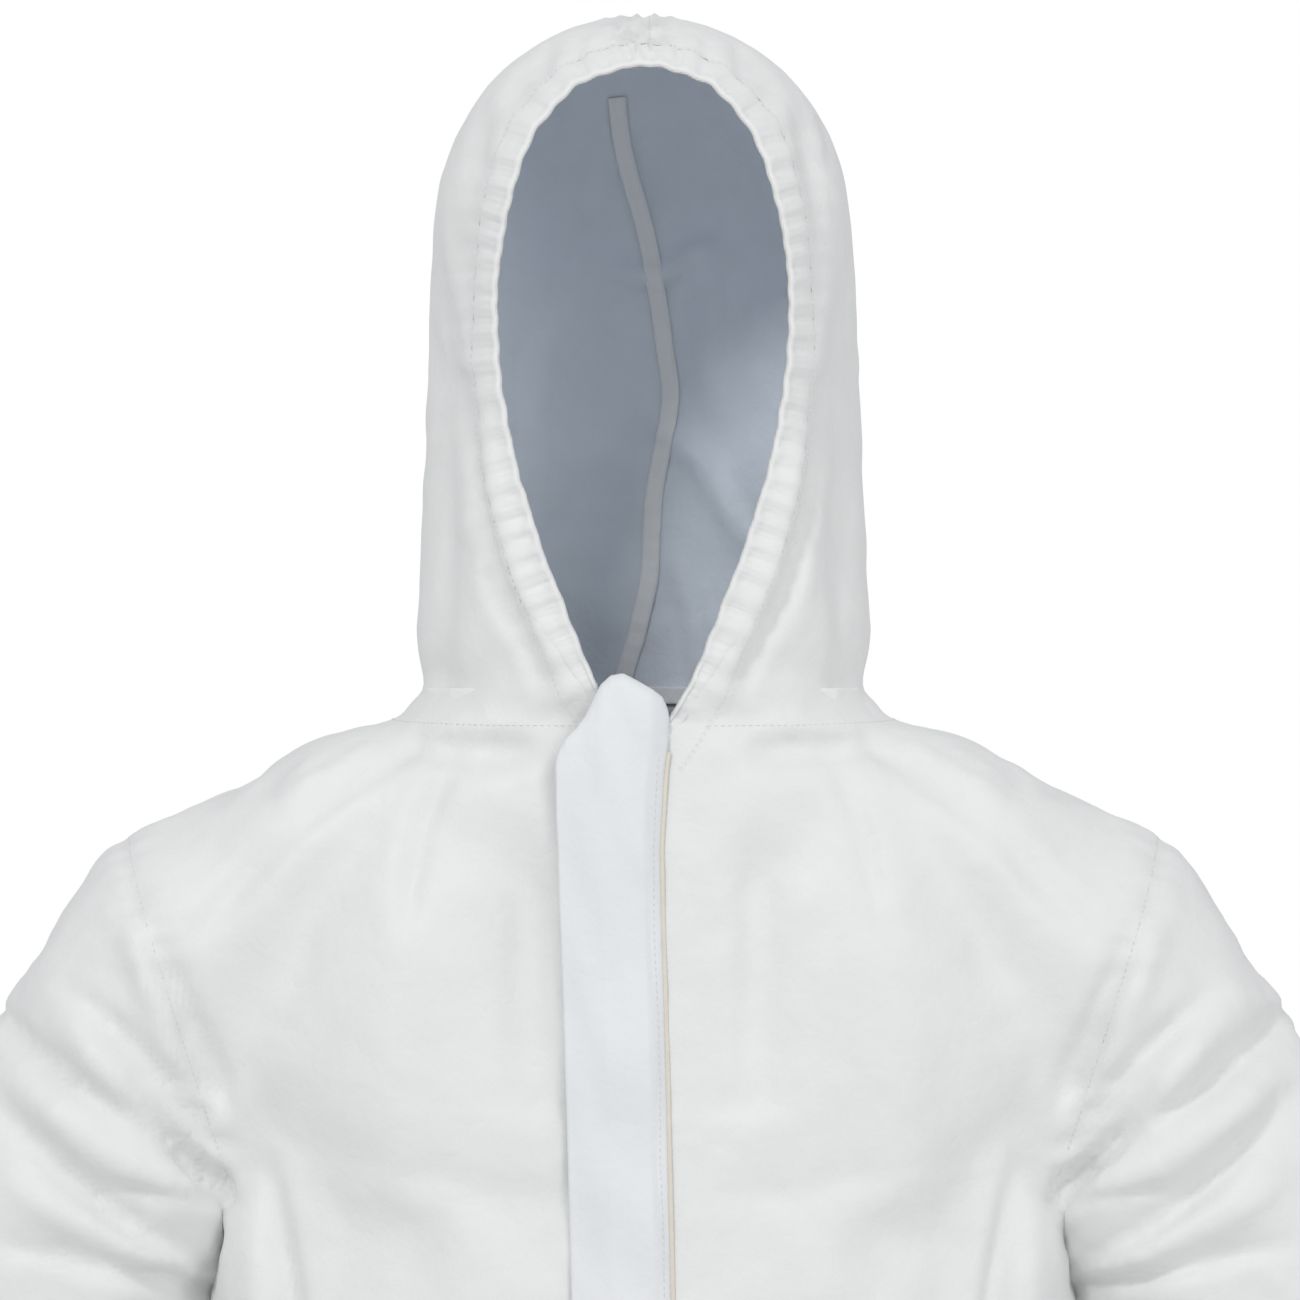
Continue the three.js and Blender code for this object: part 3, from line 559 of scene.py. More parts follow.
def wave(verts, scale, seed):
    """A smooth random field of three directions, between about -1 and 1."""
    rng = np.random.default_rng(seed)
    total = np.zeros(len(verts))
    for _ in range(7):
        aim = rng.normal(size=3)
        aim = aim / np.linalg.norm(aim) * rng.uniform(0.6, 1.4)
        total += np.sin(verts @ aim * 2 * math.pi / scale + rng.uniform(0, 2 * math.pi))
    return total / 3.2


def looseness(verts):
    """Where the cloth has slack to crumple: little on the chest and hood, most on the limbs."""
    arm = is_sleeve(verts) * smooth(down_arm(verts), -0.06, 0.10)
    legs = smooth(-verts[:, 2], 0.42, 0.62)
    back = smooth(verts[:, 1], 0.0, 0.05) * smooth(-verts[:, 2], 0.0, 0.10)
    side = smooth(np.abs(verts[:, 0]), 0.16, 0.20) * smooth(-verts[:, 2], 0.20, 0.30)
    hood = smooth(above_neck(verts), 0.0, 0.03)
    return np.clip(0.16 + arm + 0.75 * legs + 0.45 * back + 0.4 * side, 0, 1) * (1 - hood) + 0.22 * hood


def holding(verts):
    """How firmly each place is held where it was cut: seams, cuffs, zip and the wearer's shoulders."""
    hold = np.full(len(verts), 0.06)
    hold = np.maximum(hold, 0.75 * np.exp(-((above_neck(verts) / 0.008) ** 2)))
    zip_near = (verts[:, 1] < 0) & (verts[:, 2] < 0)
    hold = np.maximum(hold, zip_near * 0.9 * np.exp(-((verts[:, 0] / 0.030) ** 2)))
    armhole = np.exp(-((past_armhole(verts) / 0.006) ** 2)) * (verts[:, 2] > ARMPIT[1])
    hold = np.maximum(hold, 0.35 * armhole)
    waist = np.exp(-(((verts[:, 2] - WAIST) / 0.010) ** 2)) * ~is_sleeve(verts)
    hold = np.maximum(hold, 0.6 * waist)
    hold = np.maximum(hold, 1.0 * smooth(-verts[:, 2], 1.30, 1.345))
    hold = np.maximum(hold, is_sleeve(verts) * smooth(down_arm(verts), 0.50, 0.545))
    upper = smooth(above_neck(verts), 0.0, 0.02)
    face, _ = nearest_on_line(verts[:, (0, 2)], face_line())
    hold = np.maximum(hold, upper * (verts[:, 1] < 0) * np.exp(-((face / 0.012) ** 2)))
    return np.clip(hold, 0, 1)


def weight_group(piece, name, weights):
    """A vertex group with stepped weights."""
    group = piece.vertex_groups.new(name=name)
    steps = np.round(weights * 40).astype(int)
    for step in np.unique(steps):
        group.add([int(i) for i in np.nonzero(steps == step)[0]], step / 40, "REPLACE")


def settle(whole, sizes):
    """Lets the cloth, cut a little too large, buckle and settle between the places that hold it."""
    verts = places(whole.data)
    weight_group(whole, "hold", holding(verts))
    weight_group(whole, "loose", looseness(verts))
    cloth = whole.modifiers.new("cloth", "CLOTH")
    rules = cloth.settings
    rules.quality = 4
    rules.mass = 0.15
    rules.air_damping = 3.0
    rules.tension_stiffness = 18
    rules.compression_stiffness = 18
    rules.shear_stiffness = 8
    rules.bending_stiffness = 1.2
    rules.tension_damping = 6
    rules.compression_damping = 6
    rules.shear_damping = 6
    rules.bending_damping = 1.0
    rules.vertex_group_mass = "hold"
    rules.pin_stiffness = 1.0
    rules.vertex_group_shrink = "loose"
    rules.shrink_min = -sizes.slack * 0.2
    rules.shrink_max = -sizes.slack
    rules.effector_weights.gravity = 0.0
    cloth.point_cache.frame_start = 1
    cloth.point_cache.frame_end = sizes.settle_frames
    scene = bpy.context.scene
    for step in range(1, sizes.settle_frames + 1):
        scene.frame_set(step)
    take_evaluated(whole)
    whole.vertex_groups.clear()
    scene.frame_set(1)
    moved = places(whole.data)
    shift = moved - verts
    size = np.linalg.norm(shift, axis=1)[:, None]
    reach = sizes.settle_reach
    limited = verts + shift * np.minimum(1, reach * np.tanh(size / reach) / np.maximum(size, 1e-9))
    set_places(whole.data, relaxed(limited, edges_of(whole.data), 1, 0.35))


def gather_moves(verts):
    """How far each place is pushed out where an elastic or a seam gathers the cloth."""
    x, y, z = verts.T
    sleeve = is_sleeve(verts)
    turn = np.arctan2(y, x)
    waist = np.exp(-(((z - WAIST) / 0.034) ** 2)) * ~sleeve * (0.25 + 0.75 * smooth(y, -0.02, 0.05))
    out = 0.0024 * waist * np.sin(34 * turn + 2.2 * np.sin(5 * turn))
    out -= 0.0026 * waist * np.exp(-(((z - WAIST) / 0.007) ** 2))

    cuff = sleeve * smooth(down_arm(verts), 0.505, 0.555)
    round_arm = np.arctan2(y - SHOULDER[1], across_arm(verts))
    out += 0.0015 * cuff * np.sin(17 * round_arm + 1.5 * np.sin(3 * round_arm))
    ankle = smooth(-z, 1.315, 1.355)
    round_leg = np.arctan2(y, np.abs(x) - 0.142)
    out += 0.0019 * ankle * np.sin(22 * round_leg + 1.6 * np.sin(4 * round_leg))

    hood = above_neck(verts) > 0
    edge, along = nearest_on_line(verts[:, (0, 2)], face_line())
    near_face = hood * (y < 0) * np.exp(-((edge / 0.022) ** 2))
    out += 0.0010 * near_face * np.sin(2 * math.pi * along / 0.0135 + 2 * np.sin(along * 47))

    upper = (z > ARMPIT[1]) & (np.abs(x) > 0.15)
    armhole = upper * np.exp(-((past_armhole(verts) / 0.0038) ** 2))
    neck = np.exp(-((above_neck(verts) / 0.0045) ** 2)) * (np.abs(x) < 0.2)
    middle = np.exp(-((x / 0.0034) ** 2)) * ((y > 0) | (hood & (z > 0.30))) * (z > CROTCH)
    out -= 0.0009 * armhole + 0.0013 * neck + 0.0006 * middle
    tug = upper * np.exp(-((past_armhole(verts) / 0.014) ** 2))
    out += 0.0006 * tug * np.sin(2 * math.pi * (z + 0.7 * y) / 0.017 + 3 * np.sin(z * 60))
    crown = hood * np.exp(-((x / 0.016) ** 2)) * smooth(z, 0.322, 0.336) * smooth(-y, -0.02, 0.03)
    return out + 0.0020 * crown * np.sin(2 * math.pi * (x + 0.35 * z) / 0.0085)


MADE = {}


def suit_surface(sizes):
    """The finished outer cloth as places, four-cornered faces and normals. It is made once."""
    if "surface" in MADE:
        return MADE["surface"]
    whole = body_base(sizes)
    open_ends(whole)
    verts = places(whole.data)
    mark = whole.data.attributes.new("on_sleeve", "FLOAT", "POINT")
    mark.data.foreach_set("value", is_sleeve(verts).astype(np.float32))
    out = 0.8 * fold_moves(verts) + fullness(verts) + 0.0012 * wave(verts, 0.11, 3) * looseness(verts)
    set_places(whole.data, verts + normals_of(whole.data) * out[:, None])
    settle(whole, sizes)
    finer = whole.modifiers.new("finer", "SUBSURF")
    finer.levels = finer.render_levels = 1
    take_evaluated(whole)
    verts = places(whole.data)
    loose = looseness(verts)
    out = gather_moves(verts) + 0.95 * fold_moves(verts)
    out += sizes.crinkle * (0.2 + 0.6 * loose) * (wave(verts, 0.045, 11) + 0.5 * wave(verts, 0.021, 12))
    verts = verts + normals_of(whole.data) * out[:, None]
    set_places(whole.data, verts)
    quads = np.empty(len(whole.data.loops), dtype=np.int64)
    whole.data.loops.foreach_get("vertex_index", quads)
    quads = quads.reshape(-1, 4)
    normals = normals_of(whole.data).copy()
    quads = zip_slot(verts, quads)
    share = np.empty(len(whole.data.vertices), dtype=np.float32)
    whole.data.attributes["on_sleeve"].data.foreach_get("value", share)
    MADE["on_sleeve"] = share
    bpy.data.objects.remove(whole)
    MADE["surface"] = (verts, quads, normals)
    MADE["tree"] = BVHTree.FromPolygons(verts.tolist(), quads.tolist())
    return MADE["surface"]


def zip_slot(verts, quads):
    """Parts the front panels over the zip, with straight edges."""
    centre = verts[quads].mean(axis=1)
    bottom = ZIP_TOP[2] - ZIP_LENGTH
    in_slot = (np.abs(centre[:, 0]) < ZIP_SLOT) & (centre[:, 1] < 0)
    in_slot &= (centre[:, 2] < -0.012) & (centre[:, 2] > bottom)
    edge = np.intersect1d(np.unique(quads[in_slot]), np.unique(quads[~in_slot]))
    beside = edge[(np.abs(verts[edge, 0]) > 0.003) & (verts[edge, 2] < -0.02)]
    verts[beside, 0] = np.sign(verts[beside, 0]) * ZIP_SLOT
    return quads[~in_slot]


def past_groin(p):
    """Distance past the slanting line where a leg starts to turn, from the crotch up to the hip."""
    return np.abs(p[..., 0]) * 0.5 + (CROTCH - p[..., 2]) * 0.866


ZONES = ("front", "back", "seat", "leg", "sleeve_top", "sleeve_low", "hood")


def zone_of(centre, sleeve):
    """Which piece of cloth each place belongs to, as an index into ZONES."""
    zone = np.where(centre[:, 1] < SHOULDER[1], 0, 1)
    low = centre[:, 2] < PANEL_HEM
    zone = np.where(low, np.where(past_groin(centre) > GROIN_BEND, 3, 2), zone)
    zone = np.where(sleeve, np.where(down_arm(centre) < SLEEVE_JOIN, 4, 5), zone)
    return np.where((above_neck(centre) > 0) & (np.abs(centre[:, 0]) < 0.2), 6, zone)


def solid_from(name, verts, faces, normals=None, inner=None):
    """A smooth mesh object; inner is the range of faces that take the second material."""
    made = mesh_object(name, verts, faces)
    mesh = made.data
    mesh.polygons.foreach_set("use_smooth", np.ones(len(mesh.polygons), dtype=bool))
    if inner is not None:
        slots = np.zeros(len(mesh.polygons), dtype=np.int32)
        slots[inner[0]:inner[1]] = 1
        mesh.polygons.foreach_set("material_index", slots)
    if normals is not None:
        mesh.normals_split_custom_set_from_vertices([tuple(n) for n in normals])
    return made


def cloth_piece(name, surface, chosen, thickness):
    """One cut piece of the cloth with its inner face and its raw edges."""
    verts, quads, normals = surface
    used, index = np.unique(quads[chosen], return_inverse=True)
    corners = index.reshape(-1, 4)
    count = len(used)
    outer, outward = verts[used], normals[used]
    pairs = np.stack((corners, np.roll(corners, -1, axis=1)), axis=2).reshape(-1, 2)
    _, first, times = np.unique(np.sort(pairs, axis=1), axis=0, return_index=True, return_counts=True)
    edge = pairs[first[times == 1]]
    rim = np.column_stack((edge[:, 1], edge[:, 0], edge[:, 0] + count, edge[:, 1] + count))
    faces = np.vstack((corners, corners[:, ::-1] + count, rim))
    made = solid_from(
        name,
        np.vstack((outer, outer - outward * thickness)),
        faces.tolist(),
        np.vstack((outward, -outward)),
        (len(corners), 2 * len(corners)),
    )
    return made


SIDES = ((1, "left"), (-1, "right"))
# The model's nodes that each zone of cloth stands for, and that it hides.
STANDS_FOR = {
    "front": ("front_panel",),
    "back": ("back_panel",),
    "seat": ("seat_panel",),
    "leg": ("thigh", "knee", "lower_leg", "ankle_cuff"),
    "sleeve_top": ("sleeve_cap", "upper_sleeve"),
    "sleeve_low": ("elbow", "lower_sleeve", "wrist_cuff"),
    "hood": ("hood_panel", "hood_neck"),
}


def down_sleeve(side, distance):
    """A place on an arm's axis."""
    return arm_place(side)((0.0, 0.0, -distance))


def follow(piece, zone, side=0):
    """Attaches a front or back piece to the torso; any other piece has its place baked into its mesh and is
    not attached, and the ends of its joint are worked out but not used.
    """
    if zone in ("front", "back", "torso"):
        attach(piece, "torso")
    elif zone == "hood":
        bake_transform(piece)
    elif zone == "seat":
        start = np.array((0.0, 0.0, CROTCH))
        slant = np.array((side * 0.5, 0.0, -0.866))
        end = start + GROIN_BEND * slant
        tuple(start)
        tuple(end)
        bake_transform(piece)
    elif zone == "leg":
        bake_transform(piece)
    elif zone == "sleeve_top":
        run = (ARMPIT - ARMHOLE_TOP) / np.linalg.norm(ARMPIT - ARMHOLE_TOP)
        middle = (ARMPIT + ARMHOLE_TOP) / 2
        start = np.array((side * middle[0], SHOULDER[1], middle[1]))
        away = np.array((side * -run[1], 0.0, run[0]))
        end = start + SHOULDER_BEND * away
        tuple(start)
        tuple(end)
        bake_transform(piece)
    else:
        start, end = down_sleeve(side, 0.215), down_sleeve(side, 0.365)
        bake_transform(piece)
        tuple(start)
        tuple(end)


def dressed(piece, *materials):
    """Gives a piece its materials and keeps which face takes which."""
    mesh = piece.data
    slots = np.zeros(len(mesh.polygons), dtype=np.int32)
    mesh.polygons.foreach_get("material_index", slots)
    mesh.materials.clear()
    for material in materials:
        mesh.materials.append(material)
    mesh.polygons.foreach_set("material_index", np.minimum(slots, len(materials) - 1).astype(np.int32))
    return piece


def make_cloth(sizes):
    """The body, seat, legs, sleeves and hood, each cut from the one settled surface."""
    surface = suit_surface(sizes)
    centre = surface[0][surface[1]].mean(axis=1)
    sleeve = MADE["on_sleeve"][surface[1]].mean(axis=1) > 0.5
    zone = zone_of(centre, sleeve)
    # The inner faces take the inside colour, whose blue-grey tint is painted shade.
    outside, inside = finish("cloth"), finish("cloth_inside_painted_shade")
    for k, kind in enumerate(ZONES):
        for side, name in SIDES:
            chosen = (zone == k) & ((centre[:, 0] > 0) == (side > 0))
            piece = cloth_piece(f"{name}_{kind}_cloth", surface, chosen, sizes.thickness)
            dressed(piece, outside, inside)
            nodes = [f"{name}_{node}" for node in STANDS_FOR[kind]]
            if kind == "seat" and side > 0:
                nodes.append("crotch_gusset")
            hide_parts(*nodes)
            follow(piece, kind, side)


# ------------------------------------------------------------------ strips, rolls and rows


def unit(vectors):
    return vectors / np.maximum(np.linalg.norm(vectors, axis=-1, keepdims=True), 1e-12)


def resampled(path, step):
    """A line of places, evenly spaced."""
    path = np.asarray(path, dtype=float)
    length = np.concatenate(((0.0,), np.cumsum(np.linalg.norm(np.diff(path, axis=0), axis=1))))
    even = np.linspace(0, length[-1], max(int(length[-1] / step), 2) + 1)
    return np.column_stack([np.interp(even, length, path[:, k]) for k in range(path.shape[1])])


def eased(path, rounds):
    """A line with its small jumps smoothed away and its ends kept."""
    path = path.copy()
    for _ in range(rounds):
        path[1:-1] = 0.5 * path[1:-1] + 0.25 * (path[:-2] + path[2:])
    return path


def section_body(name, rows):
    """A closed body through like rows of places, each a loop."""
    rows = np.asarray(rows)
    count, around = rows.shape[:2]
    verts = rows.reshape(-1, 3)
    faces = []
    for r in range(count - 1):
        here, after = r * around, (r + 1) * around
        for k in range(around):
            beside = (k + 1) % around
            faces.append((here + k, here + beside, after + beside, after + k))
    faces.append(tuple(range(around))[::-1])
    faces.append(tuple((count - 1) * around + k for k in range(around)))
    made = solid_from(name, verts, faces)
    net = bmesh.new()
    net.from_mesh(made.data)
    bmesh.ops.recalc_face_normals(net, faces=net.faces)
    net.to_mesh(made.data)
    net.free()
    return made


def ribbon(name, path, across, out, width, thickness, ripple=0.0):
    """A strip of cloth along a path; across is its width direction and out faces off what it lies on."""
    path, across, out = np.asarray(path), unit(np.asarray(across)), unit(np.asarray(out))
    share = np.linspace(-1, 1, 9)
    bulge = thickness * (1 - 0.75 * np.abs(share) ** 6)
    rows = []
    for i, (place, side, up) in enumerate(zip(path, across, out)):
        lift = ripple * math.sin(i * 1.9 + 1.3 * math.sin(i * 0.37))
        top = [place + side * s * width / 2 + up * (b + lift) for s, b in zip(share, bulge)]
        low = [place + side * s * width / 2 + up * lift * 0.4 for s in share[::-1]]
        rows.append(top + low)
    return section_body(name, rows)


def rim_line(sizes):
    """The face opening's own edge on the finished cloth, from the chin round and back."""
    verts, quads, _ = suit_surface(sizes)
    pairs = np.stack((quads, np.roll(quads, -1, axis=1)), axis=2).reshape(-1, 2)
    _, first, times = np.unique(np.sort(pairs, axis=1), axis=0, return_index=True, return_counts=True)
    loose = np.unique(pairs[first[times == 1]])
    place = verts[loose]
    on_face = (place[:, 1] < -0.02) & (place[:, 2] > -0.016) & (np.abs(place[:, 0]) < 0.1)
    place = place[on_face]
    line = face_line(900)
    _, along = nearest_on_line(place[:, (0, 2)], line)
    order = np.argsort(along)
    length = np.linalg.norm(np.diff(line, axis=0), axis=1).sum()
    even = np.linspace(along.min(), along.max(), int(length / sizes.hem_step))
    path = np.column_stack([np.interp(even, along[order], place[order, k]) for k in range(3)])
    return eased(path, 14)


def band_frames(sizes):
    """Lines that run beside the face opening on the cloth: places and outward normals, one row per line."""
    if "band" in MADE:
        return MADE["band"]
    path = rim_line(sizes)
    tree = MADE["tree"]
    middle = np.array((0.0, path[:, 1].mean(), 0.160))
    tangent = unit(np.gradient(path, axis=0))
    place, out = path.copy(), np.empty_like(path)
    for i, p in enumerate(path):
        _, normal, _, _ = tree.find_nearest(Vector(p))
        out[i] = normal
    out = unit(eased(out, 20))
    away = np.cross(tangent, out)
    away *= np.sign(np.sum(away * (path - middle) * (1, 0, 1), axis=1))[:, None]
    rows = [(place, out, unit(away))]
    heading = unit(away)
    for _ in range(BAND_STEPS):
        nearest, normals = np.empty_like(place), np.empty_like(out)
        for i, p in enumerate(place + heading * BAND_STEP):
            hit, normal, _, _ = tree.find_nearest(Vector(p))
            nearest[i], normals[i] = hit, normal
        out = unit(eased(normals, 8))
        place = eased(nearest, 2)
        heading = unit(heading - out * np.sum(heading * out, axis=1)[:, None])
        rows.append((place, out, heading))
    MADE["band"] = rows
    return rows


def along_of(path):
    """Distance along a path at each of its places."""
    return np.concatenate(((0.0,), np.cumsum(np.linalg.norm(np.diff(path, axis=0), axis=1))))


# The rolled edge's section, in millimetres: away from the opening and out from the cloth.
HEM_ROLL = (
    (6.5, -1.9), (3.0, -2.4), (0.6, -2.3), (-0.8, -1.7), (-1.3, -0.7), (-1.2, 0.4), (-0.5, 1.1), (0.8, 1.3),
)


def make_face_hem(sizes):
    """The rolled, elastic-gathered hem round the face, with its folded band and its elastic."""
    rows = band_frames(sizes)
    path, out, away = rows[0]
    along = along_of(path)
    beat = 2 * math.pi * along / sizes.pucker_spacing + 3.1 * np.sin(along * 61) + 2.3 * np.sin(along * 143)
    pucker = np.sin(beat) * (0.55 + 0.45 * np.sin(along * 37 + 1.0))
    fine = np.sin(2.3 * beat + 1.0)
    loop = []
    for a, h in HEM_ROLL:
        swell = 1 + 0.07 * pucker + 0.04 * fine
        loop.append(path + away * (a * 1e-3 * swell)[:, None] + out * (h * 1e-3 * swell)[:, None])
    heights = (1.0, 0.70, 0.60, 0.52, 0.44, 0.36, 0.28, 0.18, 0.05, -0.15)
    ends = smooth(path[:, 2], 0.000, 0.060)[:, None]
    for k, height in enumerate(heights):
        place, normal, _ = rows[k + 1]
        place = path + (place - path) * (0.30 + 0.70 * ends)
        fade = 1 - k / len(heights)
        lift = height * 1e-3 + sizes.pucker_depth * fade * pucker + 0.2e-3 * fine * fade
        loop.append(place + normal * lift[:, None])
    hem = dressed(section_body("face_hem_band", np.stack(loop, axis=1)), finish("cloth"))
    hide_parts("face_hem")
    follow(hem, "hood")

    core = path + out * -0.0006 + away * -0.0004
    turn = np.linspace(0, 2 * math.pi, 9)[:-1]
    ring = [core + 0.0012 * (math.cos(t) * away + math.sin(t) * out) for t in turn]
    elastic = dressed(section_body("face_elastic_core", np.stack(ring, axis=1)), finish("elastic"))
    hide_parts("face_elastic")
    follow(elastic, "hood")


def make_hood_binding(sizes):
    """The bound seam allowance that wanders down the inside of the hood's back."""
    suit_surface(sizes)
    tree = MADE["tree"]
    path, out = [], []
    for x, z in resampled(catmull(np.array(BINDING_LINE), 6), 0.003):
        hit, normal, _, _ = tree.ray_cast(Vector((x, -0.03, z)), Vector((0, 1, 0)))
        path.append(hit)
        out.append(-normal)
    path, out = eased(np.array(path), 3), unit(eased(np.array(out), 8))
    path = path + out * (sizes.thickness + 0.0009)
    tangent = np.gradient(path, axis=0)
    across = np.cross(tangent, out)
    strip = ribbon("hood_seam_strip", path, across, out, sizes.binding_width, 0.0011, 0.00035)
    # Its near-white colour is partly painted light shining through the strip.
    dressed(strip, finish("binding"))
    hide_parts("hood_seam_binding")
    follow(strip, "hood")


def on_zip(x, out, down):
    """A place by the zip: across it, out from the face of the cloth, and down from its top."""
    return ZIP_TOP + np.array((x, 0.0, 0.0)) + out * ZIP_OUT - down * ZIP_UP


def make_storm_flap(sizes):
    """The storm flap over the zip, a soft folded strip with a rounded upper end."""
    columns, count = 46, 250
    low = ZIP_LENGTH + 0.004
    free_z, free_x = np.array(FLAP_FREE).T
    root_z, root_x = np.array(FLAP_ROOT).T
    top_x, top_z = np.array(FLAP_TOP).T
    shares = np.linspace(0, 1, columns)
    heights = np.interp(shares, *np.array(FLAP_RISE).T)
    front = []
    for r in range(count):
        up = r / (count - 1)
        line = []
        for s, height in zip(shares, heights):
            z = -low + up * low
            x = 0.0
            for _ in range(2):
                root = np.interp(z, root_z, root_x)
                x = root + s * (np.interp(z, free_z, free_x) - root)
                crest = np.interp(x, top_x, top_z)
                z = ZIP_TOP[2] - low + up * (crest - ZIP_TOP[2] + low)
            tip = min(max((crest - z) / 0.022, 0.0), 1.0)
            rise = height * (0.55 + 0.45 * math.sqrt(tip * (2 - tip)))
            rise += (s ** 3) * 0.0022 * float(smooth(z, -0.28, -0.05))
            rise *= 0.86 + 0.14 * float(smooth(z, -0.20, -0.03))
            line.append(on_zip(x, rise, ZIP_TOP[2] - z))
        front.append(line)
    front = np.array(front)
    flat = front.reshape(-1, 3)
    lift = 0.0017 * wave(flat, 0.070, 21) + 0.0008 * wave(flat * (1, 1, 0.45), 0.021, 22)
    rooted = np.tile(smooth(shares, 0.0, 0.12), count)
    flat = flat + ZIP_OUT * (lift * rooted)[:, None]
    front = flat.reshape(front.shape)
    across = np.gradient(front, axis=1)
    upward = np.gradient(front, axis=0)
    out = unit(np.cross(across, upward))
    out *= np.sign(out @ ZIP_OUT)[..., None]
    half = sizes.flap_thickness / 2
    loop_rows = []
    for r in range(count):
        outer = front[r] + out[r] * half
        inner = front[r] - out[r] * half
        edge_free = front[r, -1] + unit(across[r, -1]) * half
        edge_root = front[r, 0] - unit(across[r, 0]) * half
        loop_rows.append(np.vstack((outer, edge_free[None], inner[::-1], edge_root[None])))
    cap_up = unit(upward[-1]) * half
    closing = front[-1] + cap_up
    top_loop = np.vstack((closing, closing[-1:], closing[::-1], closing[:1]))
    lifted = loop_rows[-1] + np.vstack((cap_up, cap_up[-1:], cap_up[::-1], cap_up[:1]))
    loop_rows.append(0.5 * top_loop + 0.5 * lifted)
    flap = dressed(section_body("storm_flap_cloth", loop_rows), finish("flap"))
    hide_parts("storm_flap")
    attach(flap, "flap")
    MADE["flap"] = (front, out, half)


def make_seam_shade_strip(sizes):
    """A beige strip along the flap's sewn edge; its colour paints the fine line of shade where the flap meets
    the right panel.
    """
    root_z, root_x = np.array(FLAP_ROOT).T
    downs = np.linspace(0.004, ZIP_LENGTH, 160)
    path = []
    for down in downs:
        z = ZIP_TOP[2] - down
        path.append(on_zip(np.interp(z, root_z, root_x) + 0.0012, 0.0004, down))
    path = np.array(path)
    across = np.tile((1.0, 0.0, 0.0), (len(path), 1))
    out = np.tile(ZIP_OUT, (len(path), 1))
    # The strip's beige colour is painted shade in the join.
    strip = dressed(ribbon("flap_seam_shade_line", path, across, out, 0.0032, 0.0009), finish("adhesive"))
    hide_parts("flap_seam_strip")
    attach(strip, "torso")


def row_tree():
    """A node tree that sets small rods along a line: stitches along it, or zip teeth across it."""
    if "Row of rods" in bpy.data.node_groups:
        return bpy.data.node_groups["Row of rods"]
    tree = bpy.data.node_groups.new("Row of rods", "GeometryNodeTree")
    inputs = (
        ("Geometry", "NodeSocketGeometry", None),
        ("Spacing", "NodeSocketFloat", 0.004),
        ("Length", "NodeSocketFloat", 0.0026),
        ("Thickness", "NodeSocketFloat", 0.0005),
        ("Across", "NodeSocketFloat", 0.0),
        ("Unevenness", "NodeSocketFloat", 0.1),
        ("Material", "NodeSocketMaterial", None),
    )
    for label, kind, value in inputs:
        socket = tree.interface.new_socket(label, in_out="INPUT", socket_type=kind)
        if value is not None:
            socket.default_value = value
    tree.interface.new_socket("Geometry", in_out="OUTPUT", socket_type="NodeSocketGeometry")
    put = tree.nodes.new
    link = tree.links.new
    given, result = put("NodeGroupInput"), put("NodeGroupOutput")
    line = put("GeometryNodeMeshToCurve")
    even = put("GeometryNodeResampleCurve")
    even.mode = "LENGTH"
    tangent = put("GeometryNodeInputTangent")
    mix = put("ShaderNodeMix")
    mix.data_type = "VECTOR"
    mix.inputs["B"].default_value = (1, 0, 0)
    turn = put("FunctionNodeAlignRotationToVector")
    turn.axis = "Z"
    rod = put("GeometryNodeMeshUVSphere")
    rod.inputs["Segments"].default_value = 6
    rod.inputs["Rings"].default_value = 4
    rod.inputs["Radius"].default_value = 0.5
    size = put("ShaderNodeCombineXYZ")
    chance = put("FunctionNodeRandomValue")
    chance.data_type = "FLOAT"
    chance.inputs["Seed"].default_value = 5
    shrink = put("ShaderNodeMath")
    shrink.operation = "MULTIPLY"
    less = put("ShaderNodeMath")
    less.operation = "SUBTRACT"
    less.inputs[0].default_value = 1.0
    wobble = put("ShaderNodeMath")
    wobble.operation = "MULTIPLY"
    set_rods = put("GeometryNodeInstanceOnPoints")
    real = put("GeometryNodeRealizeInstances")
    coat = put("GeometryNodeSetMaterial")
    link(given.outputs["Geometry"], line.inputs[0])
    link(line.outputs[0], even.inputs["Curve"])
    link(given.outputs["Spacing"], even.inputs["Length"])
    link(given.outputs["Across"], mix.inputs["Factor"])
    link(tangent.outputs[0], mix.inputs["A"])
    link(mix.outputs["Result"], turn.inputs["Vector"])
    link(chance.outputs["Value"], wobble.inputs[0])
    link(given.outputs["Unevenness"], wobble.inputs[1])
    link(wobble.outputs[0], less.inputs[1])
    link(less.outputs[0], shrink.inputs[0])
    link(given.outputs["Length"], shrink.inputs[1])
    link(given.outputs["Thickness"], size.inputs["X"])
    link(given.outputs["Thickness"], size.inputs["Y"])
    link(shrink.outputs[0], size.inputs["Z"])
    link(even.outputs[0], set_rods.inputs["Points"])
    link(rod.outputs["Mesh"], set_rods.inputs["Instance"])
    link(turn.outputs["Rotation"], set_rods.inputs["Rotation"])
    link(size.outputs[0], set_rods.inputs["Scale"])
    link(set_rods.outputs[0], real.inputs[0])
    link(real.outputs[0], coat.inputs["Geometry"])
    link(given.outputs["Material"], coat.inputs["Material"])
    link(coat.outputs[0], result.inputs[0])
    return tree


